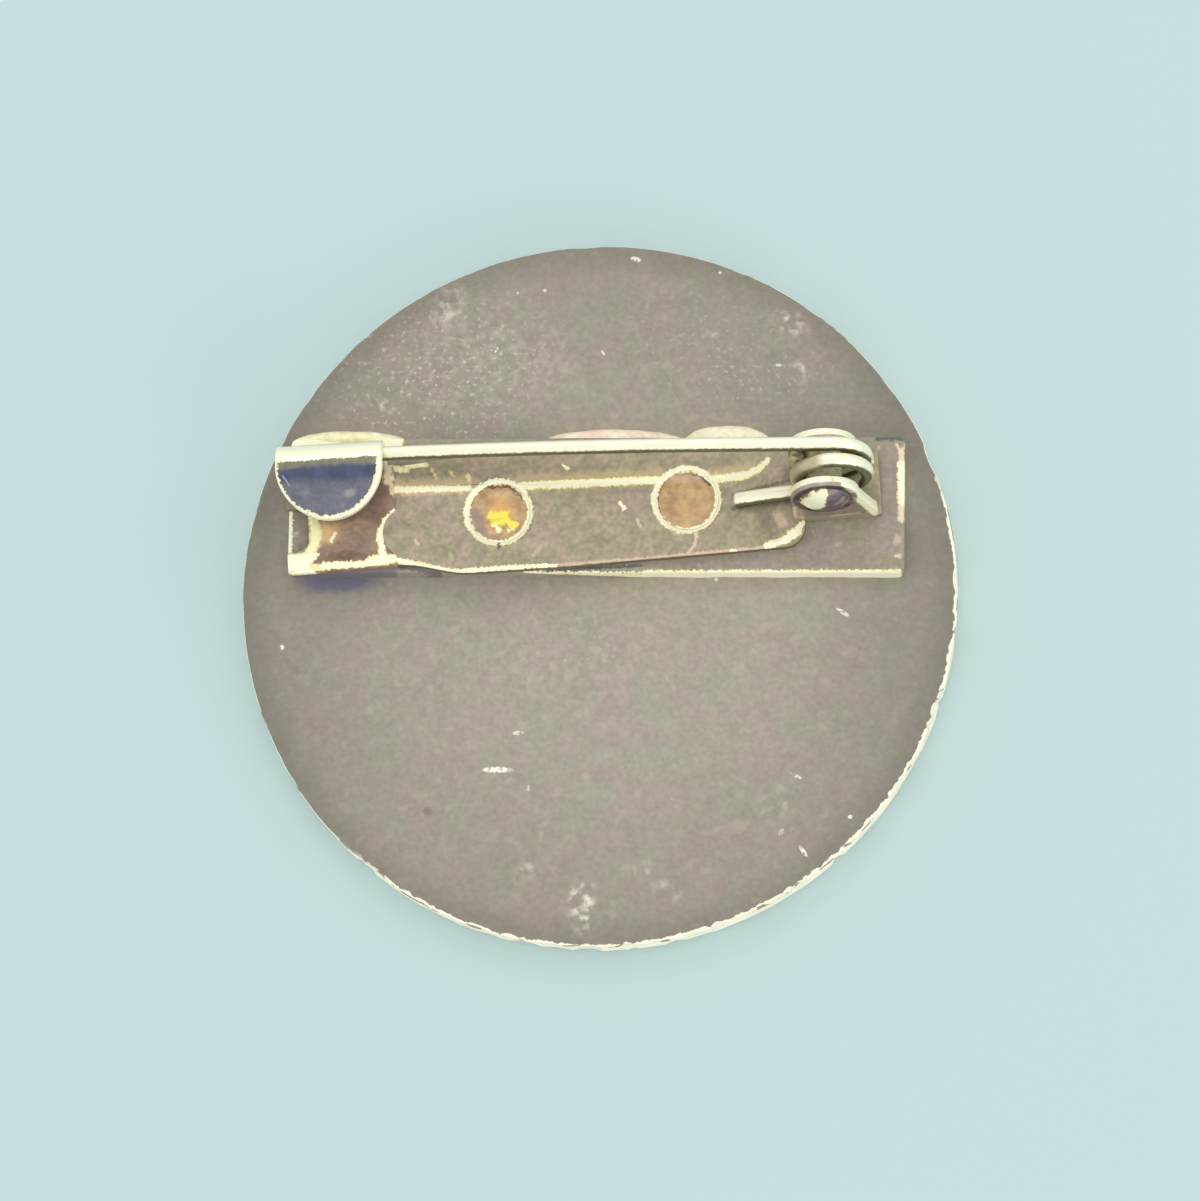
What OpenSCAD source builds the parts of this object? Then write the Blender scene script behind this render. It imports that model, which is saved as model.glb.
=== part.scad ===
// Round pin back brooch, lying on its front, with its bar pin fastened.
// +X runs to the right along the pad, +Y up the back, +Z out of the back.
// The front face is on z = 0 and the disc is centred on the origin.

/* [Disc] */
// Diameter of the round badge
disc_d = 30; // [29:0.5:40]
// Thickness of the round badge
disc_t = 1.6; // [1.2:0.1:3]
// Broken edge round both faces
disc_edge = 0.15; // [0.05:0.05:0.4]

/* [Pad] */
// Length of the adhesive pad
pad_l = 25.8; // [25.8:0.1:26.5]
// Width of the adhesive pad
pad_w = 5.8; // [5.8:0.1:6.4]
// Thickness of the adhesive pad
pad_t = 1.0; // [0.6:0.1:1.4]
// Height of the pad's middle above the middle of the disc
pad_y = 3.5; // [3:0.1:4]

/* [Bar] */
// Thickness of the stamped sheet
sheet_t = 0.45; // [0.35:0.05:0.5]
// Angle at which the bar is stuck on the pad
bar_turn = 3.9; // [0:0.1:4]
// Half the width of the bar at its widest
bar_half_w = 2.5; // [2.3:0.1:2.6]
// Distance between the two holes
hole_pitch = 7.9; // [7:0.1:9]
// Diameter of the two holes
hole_d = 2.5; // [1.5:0.1:2.6]

/* [Catch] */
// Width of the catch along the bar
catch_w = 4.6; // [4:0.1:4.6]
// Inside radius of the curl that holds the pin
curl_r = 0.75; // [0.73:0.01:0.8]
// Thickness of the sheet in the curl and its flap
catch_t = 0.35; // [0.3:0.05:0.4]
// Radius of the round flap in plan
flap_r = 2.3; // [2:0.05:2.3]

/* [Hinge] */
// Lean of the two ears away from upright
ear_lean = 10; // [0:1:10]
// Radius of the round top of each ear
ear_r = 1.42; // [1.4:0.02:1.6]
// Clear space between the two ears
ear_gap = 1.68; // [1.66:0.02:1.8]
// Diameter of the rivet's shank
rivet_d = 1.5; // [1:0.1:1.6]
// Diameter of the rivet's round head
rivet_head_d = 2.1; // [1.9:0.1:2.4]

/* [Pin wire] */
// Diameter of the spring wire
wire_d = 0.6; // [0.5:0.05:0.6]
// Radius of the coil at the middle of the wire
coil_r = 1.44; // [1.42:0.01:1.45]
// Distance of the moving turn from the middle between the ears
turn_w = 0.47; // [0.45:0.01:0.48]

/* [Hidden] */
$fn = 64;

// Heights of the faces that lie on each other
pad_top = disc_t + pad_t;
bar_top = pad_top + sheet_t;

// The bar's own frame: u along it, v across it, with its middle here on the disc
bar_mid = [-0.12, 3.33];
wire_r = wire_d / 2;

// Pad
pad_x = -0.1;
pad_corner = 0.3;

// Bar: the seat under the catch, the plate with the holes, and the hinge block
seat_left = -12.9;
seat_right = -8.3;
seat_low = -1.95;
plate_right = 8.75;
plate_low_corner = 0.9;
plate_high_corner = 1.6;
plate_low_right = -2.3;
plate_high_right = 2.15;
block_left = 7.2;
plate_straight_from = -5.2;
plate_taper_from = -1.0;
flare_steps = 8;
block_right = 11.95;
block_low = -1.15;
block_high = 1.5;

// Notch in the seat's left edge, and the hollow in the raised saddle's right edge
notch_at = [-12.75, -0.2];
notch_r = 0.95;
saddle_hollow_at = [-7.95, -0.75];
saddle_hollow_r = 0.9;
saddle_h = 0.12;

// Shallow ledge pressed in the plate below the pin
ledge_depth = 0.1;
ledge_left = -8.05;
ledge_right = 7.3;
ledge_low = 0.95;
ledge_corner = 0.8;

// Catch: the curl's middle is on the seat's upper edge, and the flap bends gently down
catch_u = -10.67;
curl_out = curl_r + catch_t;
curl_at = [2.32, pad_top + curl_out];
curl_top = curl_at[1] + curl_out;
flap_bend_r = 6;
flap_mid_v = 2.03;

// Hinge: the middle of the rivet, halfway between the ears
hinge_at = [9.67, 0.44, bar_top + 1.72];
ear_t = sheet_t;
ear_foot = [2.1, -1.72];
ear_root = 2.3;
rivet_fit = 0.01;
head_h = 0.4;
tail_head_d = 1.9;
tail_head_h = 0.25;

// Wire: the coil hangs loosely on the rivet, with its middle this far along the bar and up from it.
// Each turn stops short of a full circle beside its straight end.
coil_off = [0.33, 0.12];
turn_arc = 290;
tail_turn_w = -0.25;
tail_leaves_at = -88;
tail_l = 4.15;
arm_gap = 0.08;
arm_slope_v = 0.0818;
arm_slope_z = 0.1273;
arm_end_u = -8.1;
point_round_l = 1.9;
point_tip = [-13.0, curl_at[0] + 0.4, curl_at[1] - 0.08];
point_tip_r = 0.04;
joint_gap = 0.02;

// Glue in the holes, and squeezed out beside the pad: x of each bead's ends and how far it bulges
plug_clear = 0.02;
plug_rise = 0.12;
bead_h = 0.7;
bead_from = 0;
bead_to = 1;
bead_out = 2;
BEADS = [
    [-12.3, -8.2, 0.22],
    [-1.75, 3.35, 0.55],
    [3.75, 6.9, 0.65]
];

// Places u, v, z of the bar's frame on the back of the disc
module on_bar() {
    translate([bar_mid[0], bar_mid[1], 0])
        rotate([0, 0, bar_turn])
            children();
}

// Turns x along the bar, y along the rivet and z up along the leaning ears
module on_hinge() {
    translate(hinge_at)
        rotate([-ear_lean, 0, 0])
            children();
}

// A point of the hinge's frame in the bar's frame
function hinge_point(p) = hinge_at + [
    p[0],
    p[1] * cos(ear_lean) + p[2] * sin(ear_lean),
    -p[1] * sin(ear_lean) + p[2] * cos(ear_lean)
];

// The straight pin's middle line at a place u along the bar
arm_root = hinge_point([coil_off[0], turn_w, coil_off[1] + coil_r]);
function arm_point(u) = arm_root + (arm_root[0] - u) * [-1, arm_slope_v, -arm_slope_z];

// Puts the start of a shape that stands on z = 0 at p, and turns it towards q
module from_to(p, q) {
    d = q - p;
    translate(p)
        rotate([0, acos(d[2] / norm(d)), atan2(d[1], d[0])])
            children();
}

module rod(p, q) {
    from_to(p, q)
        cylinder(h = norm(q - p), r = wire_r);
}

// A rectangle with round corners, from its lower left to its upper right corner
module round_rect(from, to, r) {
    translate([from[0], from[1] + r])
        square([to[0] - from[0], to[1] - from[1] - 2 * r]);
    translate([from[0] + r, from[1]])
        square([to[0] - from[0] - 2 * r, to[1] - from[1]]);
    for (x = [from[0] + r, to[0] - r], y = [from[1] + r, to[1] - r])
        translate([x, y])
            circle(r);
}

module disc() {
    color("dimgray")
        rotate_extrude($fn = 128)
            polygon([
                [0, 0],
                [disc_d / 2 - disc_edge, 0],
                [disc_d / 2, disc_edge],
                [disc_d / 2, disc_t - disc_edge],
                [disc_d / 2 - disc_edge, disc_t],
                [0, disc_t]
            ]);
}

module adhesive_pad() {
    color("gray")
        translate([pad_x, pad_y, disc_t])
            linear_extrude(pad_t)
                round_rect([-pad_l / 2, -pad_w / 2], [pad_l / 2, pad_w / 2], pad_corner);
}

// The seat widens smoothly into the plate
function flare(k) = (1 - cos(180 * k / flare_steps)) / 2;
function flare_points(v0, v1) = [
    for (k = [0 : flare_steps])
        [
            seat_right + (plate_straight_from - seat_right) * k / flare_steps,
            v0 + (v1 - v0) * flare(k)
        ]
];

module plate_outline() {
    low_u = plate_right - plate_low_corner;
    high_u = plate_right - plate_high_corner;
    low_v = plate_low_right + plate_low_corner;
    high_v = plate_high_right - plate_high_corner;
    polygon(concat(
        flare_points(seat_low, -bar_half_w),
        [
            [plate_taper_from, -bar_half_w],
            [low_u, plate_low_right],
            [low_u, low_v],
            [plate_right, low_v],
            [plate_right, high_v],
            [high_u, high_v],
            [high_u, plate_high_right]
        ],
        [for (p = [flare_steps : -1 : 0]) flare_points(curl_at[0], bar_half_w)[p]]
    ));
    translate([low_u, low_v])
        circle(plate_low_corner);
    translate([high_u, high_v])
        circle(plate_high_corner);
}

module notch_outline() {
    translate(notch_at)
        circle(notch_r);
    translate([notch_at[0] - 1, notch_at[1] - notch_r])
        square([1, 2 * notch_r]);
}

module seat_outline() {
    difference() {
        translate([seat_left, seat_low])
            square([seat_right - seat_left, curl_at[0] - seat_low]);
        notch_outline();
    }
}

module base_sheet() {
    translate([0, 0, pad_top])
        linear_extrude(sheet_t)
            difference() {
                union() {
                    seat_outline();
                    plate_outline();
                    translate([block_left, block_low])
                        square([block_right - block_left, block_high - block_low]);
                }
                for (s = [-1, 1])
                    translate([s * hole_pitch / 2, 0])
                        circle(d = hole_d);
            }
}

module ledge_cut() {
    translate([0, 0, bar_top - ledge_depth])
        linear_extrude(ledge_depth + 1)
            round_rect([ledge_left, ledge_low], [ledge_right, bar_half_w + 2], ledge_corner);
}

// Raised saddle across the seat
module saddle() {
    translate([0, 0, bar_top - sheet_t / 2])
        linear_extrude(sheet_t / 2 + saddle_h)
            difference() {
                seat_outline();
                translate(saddle_hollow_at)
                    circle(saddle_hollow_r);
            }
}

// Section of the catch across the bar: half a circle up from the seat, then the bent flap
module catch_section() {
    flap_mid = [curl_at[0], curl_top - flap_bend_r];
    difference() {
        translate(curl_at)
            circle(curl_out);
        translate(curl_at)
            circle(curl_r);
        translate([curl_at[0] - 2 * curl_out, curl_at[1] - curl_out])
            square(2 * curl_out);
    }
    intersection() {
        difference() {
            translate(flap_mid)
                circle(flap_bend_r, $fn = 128);
            translate(flap_mid)
                circle(flap_bend_r - catch_t, $fn = 128);
        }
        translate([curl_at[0] - 3, curl_top - 1.5])
            square([3, 1.5]);
    }
}

module catch_curl() {
    intersection() {
        translate([catch_u - catch_w / 2, 0, 0])
            rotate([90, 0, 90])
                linear_extrude(catch_w)
                    catch_section();
        translate([catch_u, flap_mid_v, pad_top])
            linear_extrude(5)
                union() {
                    circle(flap_r);
                    translate([-catch_w / 2, 0])
                        square([catch_w, 3]);
                }
    }
}

// Outline of one ear seen along the rivet: a round top, and a foot that runs out to the right
module ear_outline() {
    reach = norm(ear_foot);
    touch = atan2(ear_foot[1], ear_foot[0]) + acos(ear_r / reach);
    circle(ear_r);
    polygon([
        [-ear_r, -ear_root],
        [-ear_r, 0],
        [0, 0],
        ear_r * [cos(touch), sin(touch)],
        ear_foot,
        [ear_foot[0], -ear_root]
    ]);
}

module ears() {
    intersection() {
        on_hinge()
            difference() {
                for (w = [-ear_gap / 2 - ear_t, ear_gap / 2])
                    translate([0, w + ear_t, 0])
                        rotate([90, 0, 0])
                            linear_extrude(ear_t)
                                ear_outline();
                rotate([90, 0, 0])
                    cylinder(h = 6, d = rivet_d + 2 * rivet_fit, center = true);
            }
        translate([hinge_at[0] - 3, block_low - 0.2, pad_top + sheet_t / 4])
            cube([6, 5, 6]);
    }
}

module pin_bar() {
    color("darkkhaki")
        on_bar() {
            difference() {
                union() {
                    base_sheet();
                    saddle();
                    ears();
                }
                ledge_cut();
            }
            catch_curl();
        }
}

// A low round head, seen from its flat side at z = 0
module rivet_head(d, h) {
    ball_r = (d * d / 4 + h * h) / (2 * h);
    rotate_extrude()
        intersection() {
            translate([0, h - ball_r])
                circle(ball_r, $fn = 128);
            square([d / 2, h]);
        }
}

module rivet() {
    face = ear_gap / 2 + ear_t;
    color("rosybrown")
        on_bar()
            on_hinge() {
                rotate([90, 0, 0])
                    cylinder(h = 2 * face, d = rivet_d, center = true);
                translate([0, -face, 0])
                    rotate([90, 0, 0])
                        rivet_head(rivet_head_d, head_h);
                translate([0, face, 0])
                    rotate([-90, 0, 0])
                        rivet_head(tail_head_d, tail_head_h);
            }
}

// One turn of round wire in the plane of the ears, clockwise from its straight end's angle
module turn(w, from, arc) {
    translate([coil_off[0], w, coil_off[1]])
        rotate([90, 0, 0])
            rotate([0, 0, from])
                rotate_extrude(angle = arc)
                    translate([coil_r, 0])
                        circle(wire_r, $fn = 32);
}

// The tail runs straight off its turn, down to the bar
module spring_tail() {
    a = tail_leaves_at;
    leave = [coil_off[0] + coil_r * cos(a), tail_turn_w, coil_off[1] + coil_r * sin(a)];
    color("khaki")
        on_bar()
            on_hinge() {
                turn(tail_turn_w, a, turn_arc);
                rod(leave, leave + tail_l * [sin(a), 0, -cos(a)]);
            }
}

module pin_coil() {
    color("khaki")
        on_bar()
            on_hinge()
                turn(turn_w, 90 - turn_arc, turn_arc);
}

module pin_arm() {
    color("khaki")
        on_bar()
            rod(arm_point(arm_root[0] - arm_gap), arm_point(arm_end_u));
}

// The last stretch of the pin, in the curl: round at first and then ground to a point
module pin_point() {
    from = arm_point(arm_end_u - joint_gap);
    length = norm(point_tip - from);
    color("khaki")
        on_bar()
            from_to(from, point_tip)
                rotate_extrude()
                    polygon([
                        [0, 0],
                        [wire_r, 0],
                        [wire_r, point_round_l],
                        [point_tip_r, length],
                        [0, length]
                    ]);
}

module glue_plugs() {
    r = hole_d / 2 - plug_clear;
    rise = sheet_t + plug_rise;
    color("peru")
        on_bar()
            for (s = [-1, 1])
                translate([s * hole_pitch / 2, 0, pad_top])
                    rotate_extrude()
                        polygon([[0, 0], [r, 0], [r, sheet_t - plug_rise], [r / 2, rise - 0.03], [0, rise]]);
}

// A bead of glue on the disc along the pad's upper edge
module glue_bead() {
    edge = pad_y + pad_w / 2;
    color("wheat")
        for (b = BEADS) {
            half = (b[bead_to] - b[bead_from]) / 2;
            r = (half * half + b[bead_out] * b[bead_out]) / (2 * b[bead_out]);
            translate([b[bead_from] + half, edge, disc_t])
                linear_extrude(bead_h)
                    intersection() {
                        translate([0, b[bead_out] - r])
                            circle(r, $fn = 128);
                        translate([-half, 0])
                            square([2 * half, b[bead_out]]);
                    }
        }
}

disc();
adhesive_pad();
pin_bar();
rivet();
spring_tail();
pin_coil();
pin_arm();
pin_point();
glue_plugs();
glue_bead();
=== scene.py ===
# %% [markdown]
# # The back of a round brooch, with its bar pin fastened
#
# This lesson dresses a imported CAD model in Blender. The model already has the right sizes and
# moving bodies, so nothing here is measured again: each piece goes where the CAD says.
# The object is small, 30 mm across, so the values in the cells are in millimetres, and a piece
# is shrunk to metres once it is finished. Blender's own tools like that: a merge distance or a
# bevel that suits a chair is far too coarse for a wire of 0.6 mm.

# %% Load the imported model
import math
import random

import bmesh
import bpy
from mathutils import Matrix, Vector, noise


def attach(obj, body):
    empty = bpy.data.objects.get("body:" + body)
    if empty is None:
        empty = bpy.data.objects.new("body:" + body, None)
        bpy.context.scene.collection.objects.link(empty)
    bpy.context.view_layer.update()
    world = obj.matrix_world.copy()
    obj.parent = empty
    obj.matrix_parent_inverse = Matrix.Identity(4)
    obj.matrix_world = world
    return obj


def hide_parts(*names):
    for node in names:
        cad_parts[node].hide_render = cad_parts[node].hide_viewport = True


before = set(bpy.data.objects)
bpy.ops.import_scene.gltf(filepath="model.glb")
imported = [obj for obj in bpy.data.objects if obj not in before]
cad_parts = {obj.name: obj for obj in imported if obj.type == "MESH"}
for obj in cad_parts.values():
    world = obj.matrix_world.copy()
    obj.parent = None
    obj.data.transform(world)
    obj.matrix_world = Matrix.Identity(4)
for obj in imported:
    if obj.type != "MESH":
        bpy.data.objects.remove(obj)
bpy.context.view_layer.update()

# %% [markdown]
# ## The camera
# The photograph looks almost straight down on the back, leaning 13 degrees towards the lower
# right, with a long lens. The lean shows in the disc's lower right rim, whose side can be seen,
# and in the ears of the hinge. The matrix is built from its three axes, because a tracking
# constraint has no stable "up" when it looks nearly along Z.

# %% Camera at the photograph's angle
MM = 0.001
CAMERA_TILT = math.radians(13.0)
CAMERA_TURN = math.radians(22.0)
CAMERA_ROLL = math.radians(1.033)
CAMERA_DISTANCE = 200.0
MIDDLE = Vector((0.0, 0.0, 1.6))
LOOKS_AT = Vector((0.09, -0.39, 1.6))
LENS = 143.4


def camera_axes(back):
    """Right and up of a camera that looks against back, turned by its roll."""
    right = Vector((0, 1, 0)).cross(back).normalized()
    up = back.cross(right)
    c, s = math.cos(CAMERA_ROLL), math.sin(CAMERA_ROLL)
    return right * c + up * s, up * c - right * s


lean = Vector((math.sin(CAMERA_TURN) * math.sin(CAMERA_TILT),
               -math.cos(CAMERA_TURN) * math.sin(CAMERA_TILT),
               math.cos(CAMERA_TILT)))
camera_place = MIDDLE + lean * CAMERA_DISTANCE
back = (camera_place - LOOKS_AT).normalized()
right, up = camera_axes(back)
camera = bpy.data.objects.new("camera", bpy.data.cameras.new("camera"))
bpy.context.scene.collection.objects.link(camera)
bpy.context.scene.camera = camera
camera.data.lens = LENS
camera.data.clip_start, camera.data.clip_end = 0.01, 10.0
turned = Matrix((right, up, back)).transposed().to_4x4()
camera.matrix_world = Matrix.Translation(camera_place * MM) @ turned
print("camera at", tuple(round(x * MM, 4) for x in camera_place), "lens", LENS)

# %% [markdown]
# ## Nodes in short
# Every finish is a small tree of nodes. Adding a node, setting it and linking it takes many
# lines, so a few helpers do it in one. A pattern reads Object coordinates, turned from metres
# to millimetres, so that the size of a noise is the size of a stain on the real thing.
# Marks, strokes and rings are painted where a short list says, and fine noise tears their edges.

# %% Helpers that build finishes


def tone(red, green, blue):
    """A colour as a picture shows it, 0 to 255, made linear for a socket."""
    parts = [c / 255 for c in (red, green, blue)]
    return (*[p / 12.92 if p < 0.04 else ((p + 0.055) / 1.055) ** 2.4 for p in parts], 1.0)


HIGHLIGHT_CREAM = tone(255, 254, 228)


def add(tree, kind, sockets=None, **settings):
    """Adds a node, sets it, and fills its sockets with values or links."""
    made = tree.nodes.new("ShaderNode" + kind)
    for key, value in settings.items():
        setattr(made, key, value)
    for key, value in (sockets or {}).items():
        if isinstance(value, bpy.types.NodeSocket):
            tree.links.new(value, made.inputs[key])
        else:
            made.inputs[key].default_value = value
    return made


def calc(tree, operation, first, second=0.0):
    """A sum with one or two values."""
    return add(tree, "Math", {0: first, 1: second}, operation=operation).outputs[0]


def level(tree, value, low, high):
    """0 below low, 1 above high, and smooth between. With low above high it runs the other way."""
    sockets = {"Value": value, "From Min": low, "From Max": high}
    return add(tree, "MapRange", sockets, interpolation_type="SMOOTHSTEP").outputs[0]


def mix(tree, amount, first, second, how="MIX"):
    """The first colour, with an amount of the second laid over it."""
    sockets = {0: amount, 6: first, 7: second}
    return add(tree, "Mix", sockets, data_type="RGBA", blend_type=how).outputs[2]


def cloud(tree, at, size, detail=2.0):
    """Smooth noise whose lumps are about size millimetres."""
    return add(tree, "TexNoise", {"Vector": at, "Scale": 1 / size, "Detail": detail}).outputs[0]


def plus_noise(tree, value, at, size, amount, detail=2.0):
    """A value with up to amount added by noise whose lumps are about size millimetres."""
    return calc(tree, "ADD", value, calc(tree, "MULTIPLY", cloud(tree, at, size, detail), amount))


def two_tone(tree, at, size, first, second, detail=2.0):
    """A colour that turns into another one and back in soft patches of a size."""
    return mix(tree, level(tree, cloud(tree, at, size, detail), 0.3, 0.7), first, second)


def mottle(tree, colour, at, size, dark, light, detail=2.0):
    """Makes a colour darker and lighter in patches of a size."""
    stops = add(tree, "ValToRGB", {0: cloud(tree, at, size, detail)})
    stops.color_ramp.elements[0].position, stops.color_ramp.elements[1].position = 0.32, 0.68
    stops.color_ramp.elements[0].color = (dark, dark, dark, 1)
    stops.color_ramp.elements[1].color = (light, light, light, 1)
    return mix(tree, 1.0, colour, stops.outputs[0], "MULTIPLY")


def marks(tree, at, rows, soft=0.5):
    """A mask with an ellipse for each row: x, y, half length, half width, degrees, strength."""
    total = 0.0
    for x, y, long, wide, angle, strength in rows:
        sockets = {"Vector": at, "Location": (x, y, 0), "Rotation": (0, 0, math.radians(angle)),
                   "Scale": (long, wide, 1000)}
        own = add(tree, "Mapping", sockets, vector_type="TEXTURE").outputs[0]
        far = add(tree, "VectorMath", {0: own}, operation="LENGTH").outputs["Value"]
        total = calc(tree, "MAXIMUM", calc(tree, "MULTIPLY", level(tree, far, 1.0, soft), strength), total)
    return total


def torn(tree, at, size=0.12, amount=0.13):
    """The same place, jogged by fine noise, so that a painted edge comes out ragged."""
    noise_at = add(tree, "TexNoise", {"Vector": at, "Scale": 1 / size, "Detail": 2.0}).outputs["Color"]
    jog = add(tree, "VectorMath", {0: noise_at, 1: (0.5, 0.5, 0.5)}, operation="SUBTRACT").outputs[0]
    jog = add(tree, "VectorMath", {0: jog, "Scale": 2 * amount}, operation="SCALE").outputs[0]
    moved = add(tree, "VectorMath", {0: at, 1: jog}, operation="ADD").outputs[0]
    return add(tree, "VectorMath", {0: moved, 1: (1, 1, 0)}, operation="MULTIPLY").outputs[0]


def most(tree, gap, width, strength, total):
    """The larger of total and a soft line that is width wide on each side of gap 0."""
    line = calc(tree, "MULTIPLY", level(tree, gap, width, 0.35 * width), strength)
    return calc(tree, "MAXIMUM", line, total)


def strokes(tree, at, rows):
    """A mask with a brush stroke for each row: x, y, x, y of its ends, half width, strength."""
    total = 0.0
    for x0, y0, x1, y1, width, strength in rows:
        run = Vector((x1 - x0, y1 - y0, 0))
        own = add(tree, "VectorMath", {0: at, 1: (x0, y0, 0)}, operation="SUBTRACT").outputs[0]
        step = tuple(run / max(run.length_squared, 1e-6))
        share = add(tree, "VectorMath", {0: own, 1: step}, operation="DOT_PRODUCT").outputs["Value"]
        share = add(tree, "Clamp", {0: share}).outputs[0]
        foot = add(tree, "VectorMath", {0: tuple(run), "Scale": share}, operation="SCALE").outputs[0]
        gap = add(tree, "VectorMath", {0: own, 1: foot}, operation="DISTANCE").outputs["Value"]
        total = most(tree, gap, width, strength, total)
    return total


def rings(tree, at, rows, total=0.0):
    """A mask with a ring for each row: x, y, radius, half width, strength."""
    for x, y, radius, width, strength in rows:
        out = add(tree, "VectorMath", {0: at, 1: (x, y, 0)}, operation="DISTANCE").outputs["Value"]
        gap = calc(tree, "ABSOLUTE", calc(tree, "SUBTRACT", out, radius))
        total = most(tree, gap, width, strength, total)
    return total


def paint(tree, at, colour, *layers):
    """Lays strokes over a colour, layer by layer. Each layer is its rows and its own colour."""
    for rows, own in layers:
        colour = mix(tree, strokes(tree, at, rows), colour, own)
    return colour


def painted_highlight(tree, shader, at, mask, colour):
    """Lays a painted highlight over a colour: yellow margins, and a cream core that mirrors less."""
    mask = calc(tree, "MULTIPLY", mask, plus_noise(tree, 0.2, at, 0.2, 1.6, 3.0))
    core = level(tree, mask, 0.35, 0.7)
    metal = shader.inputs["Metallic"].default_value
    if metal > 0:
        less = calc(tree, "SUBTRACT", metal, calc(tree, "MULTIPLY", core, 0.6 * metal))
        tree.links.new(less, shader.inputs["Metallic"])
    colour = mix(tree, level(tree, mask, 0.05, 0.4), colour, tone(248, 236, 160))
    return mix(tree, core, colour, HIGHLIGHT_CREAM)


def bumps(tree, shader, height, strength, depth):
    """Lets a height pattern, depth millimetres deep, bend the shading."""
    made = add(tree, "Bump", {"Height": height, "Strength": strength, "Distance": depth * 0.001})
    tree.links.new(made.outputs[0], shader.inputs["Normal"])


def new_finish(name, roughness=0.5, metallic=0.0, coat=0.0):
    """A new material, with its tree, its shader and the place on the object in millimetres."""
    made = bpy.data.materials.new(name)
    made.use_nodes = True
    tree = made.node_tree
    shader = tree.nodes["Principled BSDF"]
    shader.inputs["Roughness"].default_value = roughness
    shader.inputs["Metallic"].default_value = metallic
    shader.inputs["Coat Weight"].default_value = coat
    place = add(tree, "TexCoord").outputs["Object"]
    at = add(tree, "VectorMath", {0: place, "Scale": 1000.0}, operation="SCALE").outputs[0]
    return made, tree, shader, at


def colour_to(tree, shader, colour, roughness=None):
    """Links a colour, and a roughness where there is one, to the shader."""
    tree.links.new(colour, shader.inputs["Base Color"])
    if roughness is not None:
        tree.links.new(roughness, shader.inputs["Roughness"])


# %% [markdown]
# ## The light
# In the photograph nearly every rounded edge and wire is a clipped cream line, and there is
# hardly any shadow. A bright room all round does that: bare metal mirrors it and comes out as
# bright as the picture can show, while dull or tarnished metal stays as dark as its own colour.
# The room is a little dimmer overhead, and soft lamps stand in a ring, to give the wires a form.

# %% Bright room and soft lamps
scene = bpy.context.scene
scene.view_settings.view_transform = "Standard"
room = bpy.data.worlds.new("room")
scene.world = room
room.use_nodes = True
CEILING_AT = Vector((-0.14, -0.29, 0.95)).normalized()
CEILING = (0.93, 0.92, 0.89, 1)
WALLS = (1.00, 0.975, 0.92, 1)
direction = add(room.node_tree, "TexCoord").outputs["Generated"]
overhead = add(room.node_tree, "VectorMath", {0: direction, 1: CEILING_AT}, operation="DOT_PRODUCT")
CEILING_REACH = [math.cos(math.radians(degrees)) for degrees in (50, 30)]
in_ceiling = level(room.node_tree, overhead.outputs["Value"], *CEILING_REACH)
room_colour = mix(room.node_tree, in_ceiling, WALLS, CEILING)
room.node_tree.links.new(room_colour, room.node_tree.nodes["Background"].inputs["Color"])


def soft_lamp(name, azimuth, elevation, distance, size, watts, colour):
    """A rectangular lamp that looks at the brooch. Azimuth 0 is +X and 90 is +Y, sizes are metres."""
    lamp = bpy.data.objects.new(name, bpy.data.lights.new(name, "AREA"))
    lamp.data.shape = "RECTANGLE"
    lamp.data.size, lamp.data.size_y = size
    lamp.data.energy = watts
    lamp.data.color = colour
    a, e = math.radians(azimuth), math.radians(elevation)
    lamp.location = Vector((math.cos(a) * math.cos(e), math.sin(a) * math.cos(e), math.sin(e))) * distance
    lamp.rotation_euler = lamp.location.to_track_quat("Z", "Y").to_euler()
    scene.collection.objects.link(lamp)


CREAM_LIGHT = (1.0, 0.97, 0.88)
LAMP_AWAY = 0.62
soft_lamp("lamp_low_front", -50, 20, LAMP_AWAY, (0.50, 0.24), 0.62, CREAM_LIGHT)
soft_lamp("lamp_high_back", 96, 54, LAMP_AWAY, (0.26, 0.16), 0.24, CREAM_LIGHT)
soft_lamp("lamp_right", 12, 34, LAMP_AWAY, (0.26, 0.22), 0.08, CREAM_LIGHT)

# %% [markdown]
# ## Small helpers
# Modelling by hand is: select something, use a tool on it, repeat. In a script the selection
# has to be made in code, by place or by normal. Everything is deselected first, because a
# tool acts on all that is selected.

# %% Helpers that select, shape and finish


def take(obj):
    """Makes obj the only selected object and the active one."""
    bpy.ops.object.select_all(action="DESELECT")
    obj.select_set(True)
    bpy.context.view_layer.objects.active = obj
    return obj


def edit(obj, kind="FACE"):
    """Opens obj in edit mode with nothing selected."""
    take(obj)
    bpy.ops.object.mode_set(mode="EDIT")
    bpy.ops.mesh.select_mode(type=kind)
    bpy.ops.mesh.select_all(action="DESELECT")


def close():
    """Leaves edit mode."""
    bpy.ops.object.mode_set(mode="OBJECT")


def pick(test, kind="faces"):
    """In edit mode, selects the faces, edges or verts that pass test, and returns how many."""
    mesh = bmesh.from_edit_mesh(bpy.context.edit_object.data)
    for part in mesh.faces[:] + mesh.edges[:] + mesh.verts[:]:
        part.select_set(False)
    chosen = [part for part in getattr(mesh, kind) if test(part)]
    for part in chosen:
        part.select_set(True)
    mesh.select_flush_mode()
    bmesh.update_edit_mesh(bpy.context.edit_object.data)
    return len(chosen)


def middle(part):
    """The middle of a face or an edge."""
    return sum((v.co for v in part.verts), Vector()) / len(part.verts)


def whole():
    """In edit mode, selects everything."""
    bpy.ops.mesh.select_all(action="SELECT")


def rises(edge, least):
    """True for an edge whose ends differ in height by more than least."""
    return abs(edge.verts[0].co.z - edge.verts[1].co.z) > least


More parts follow.
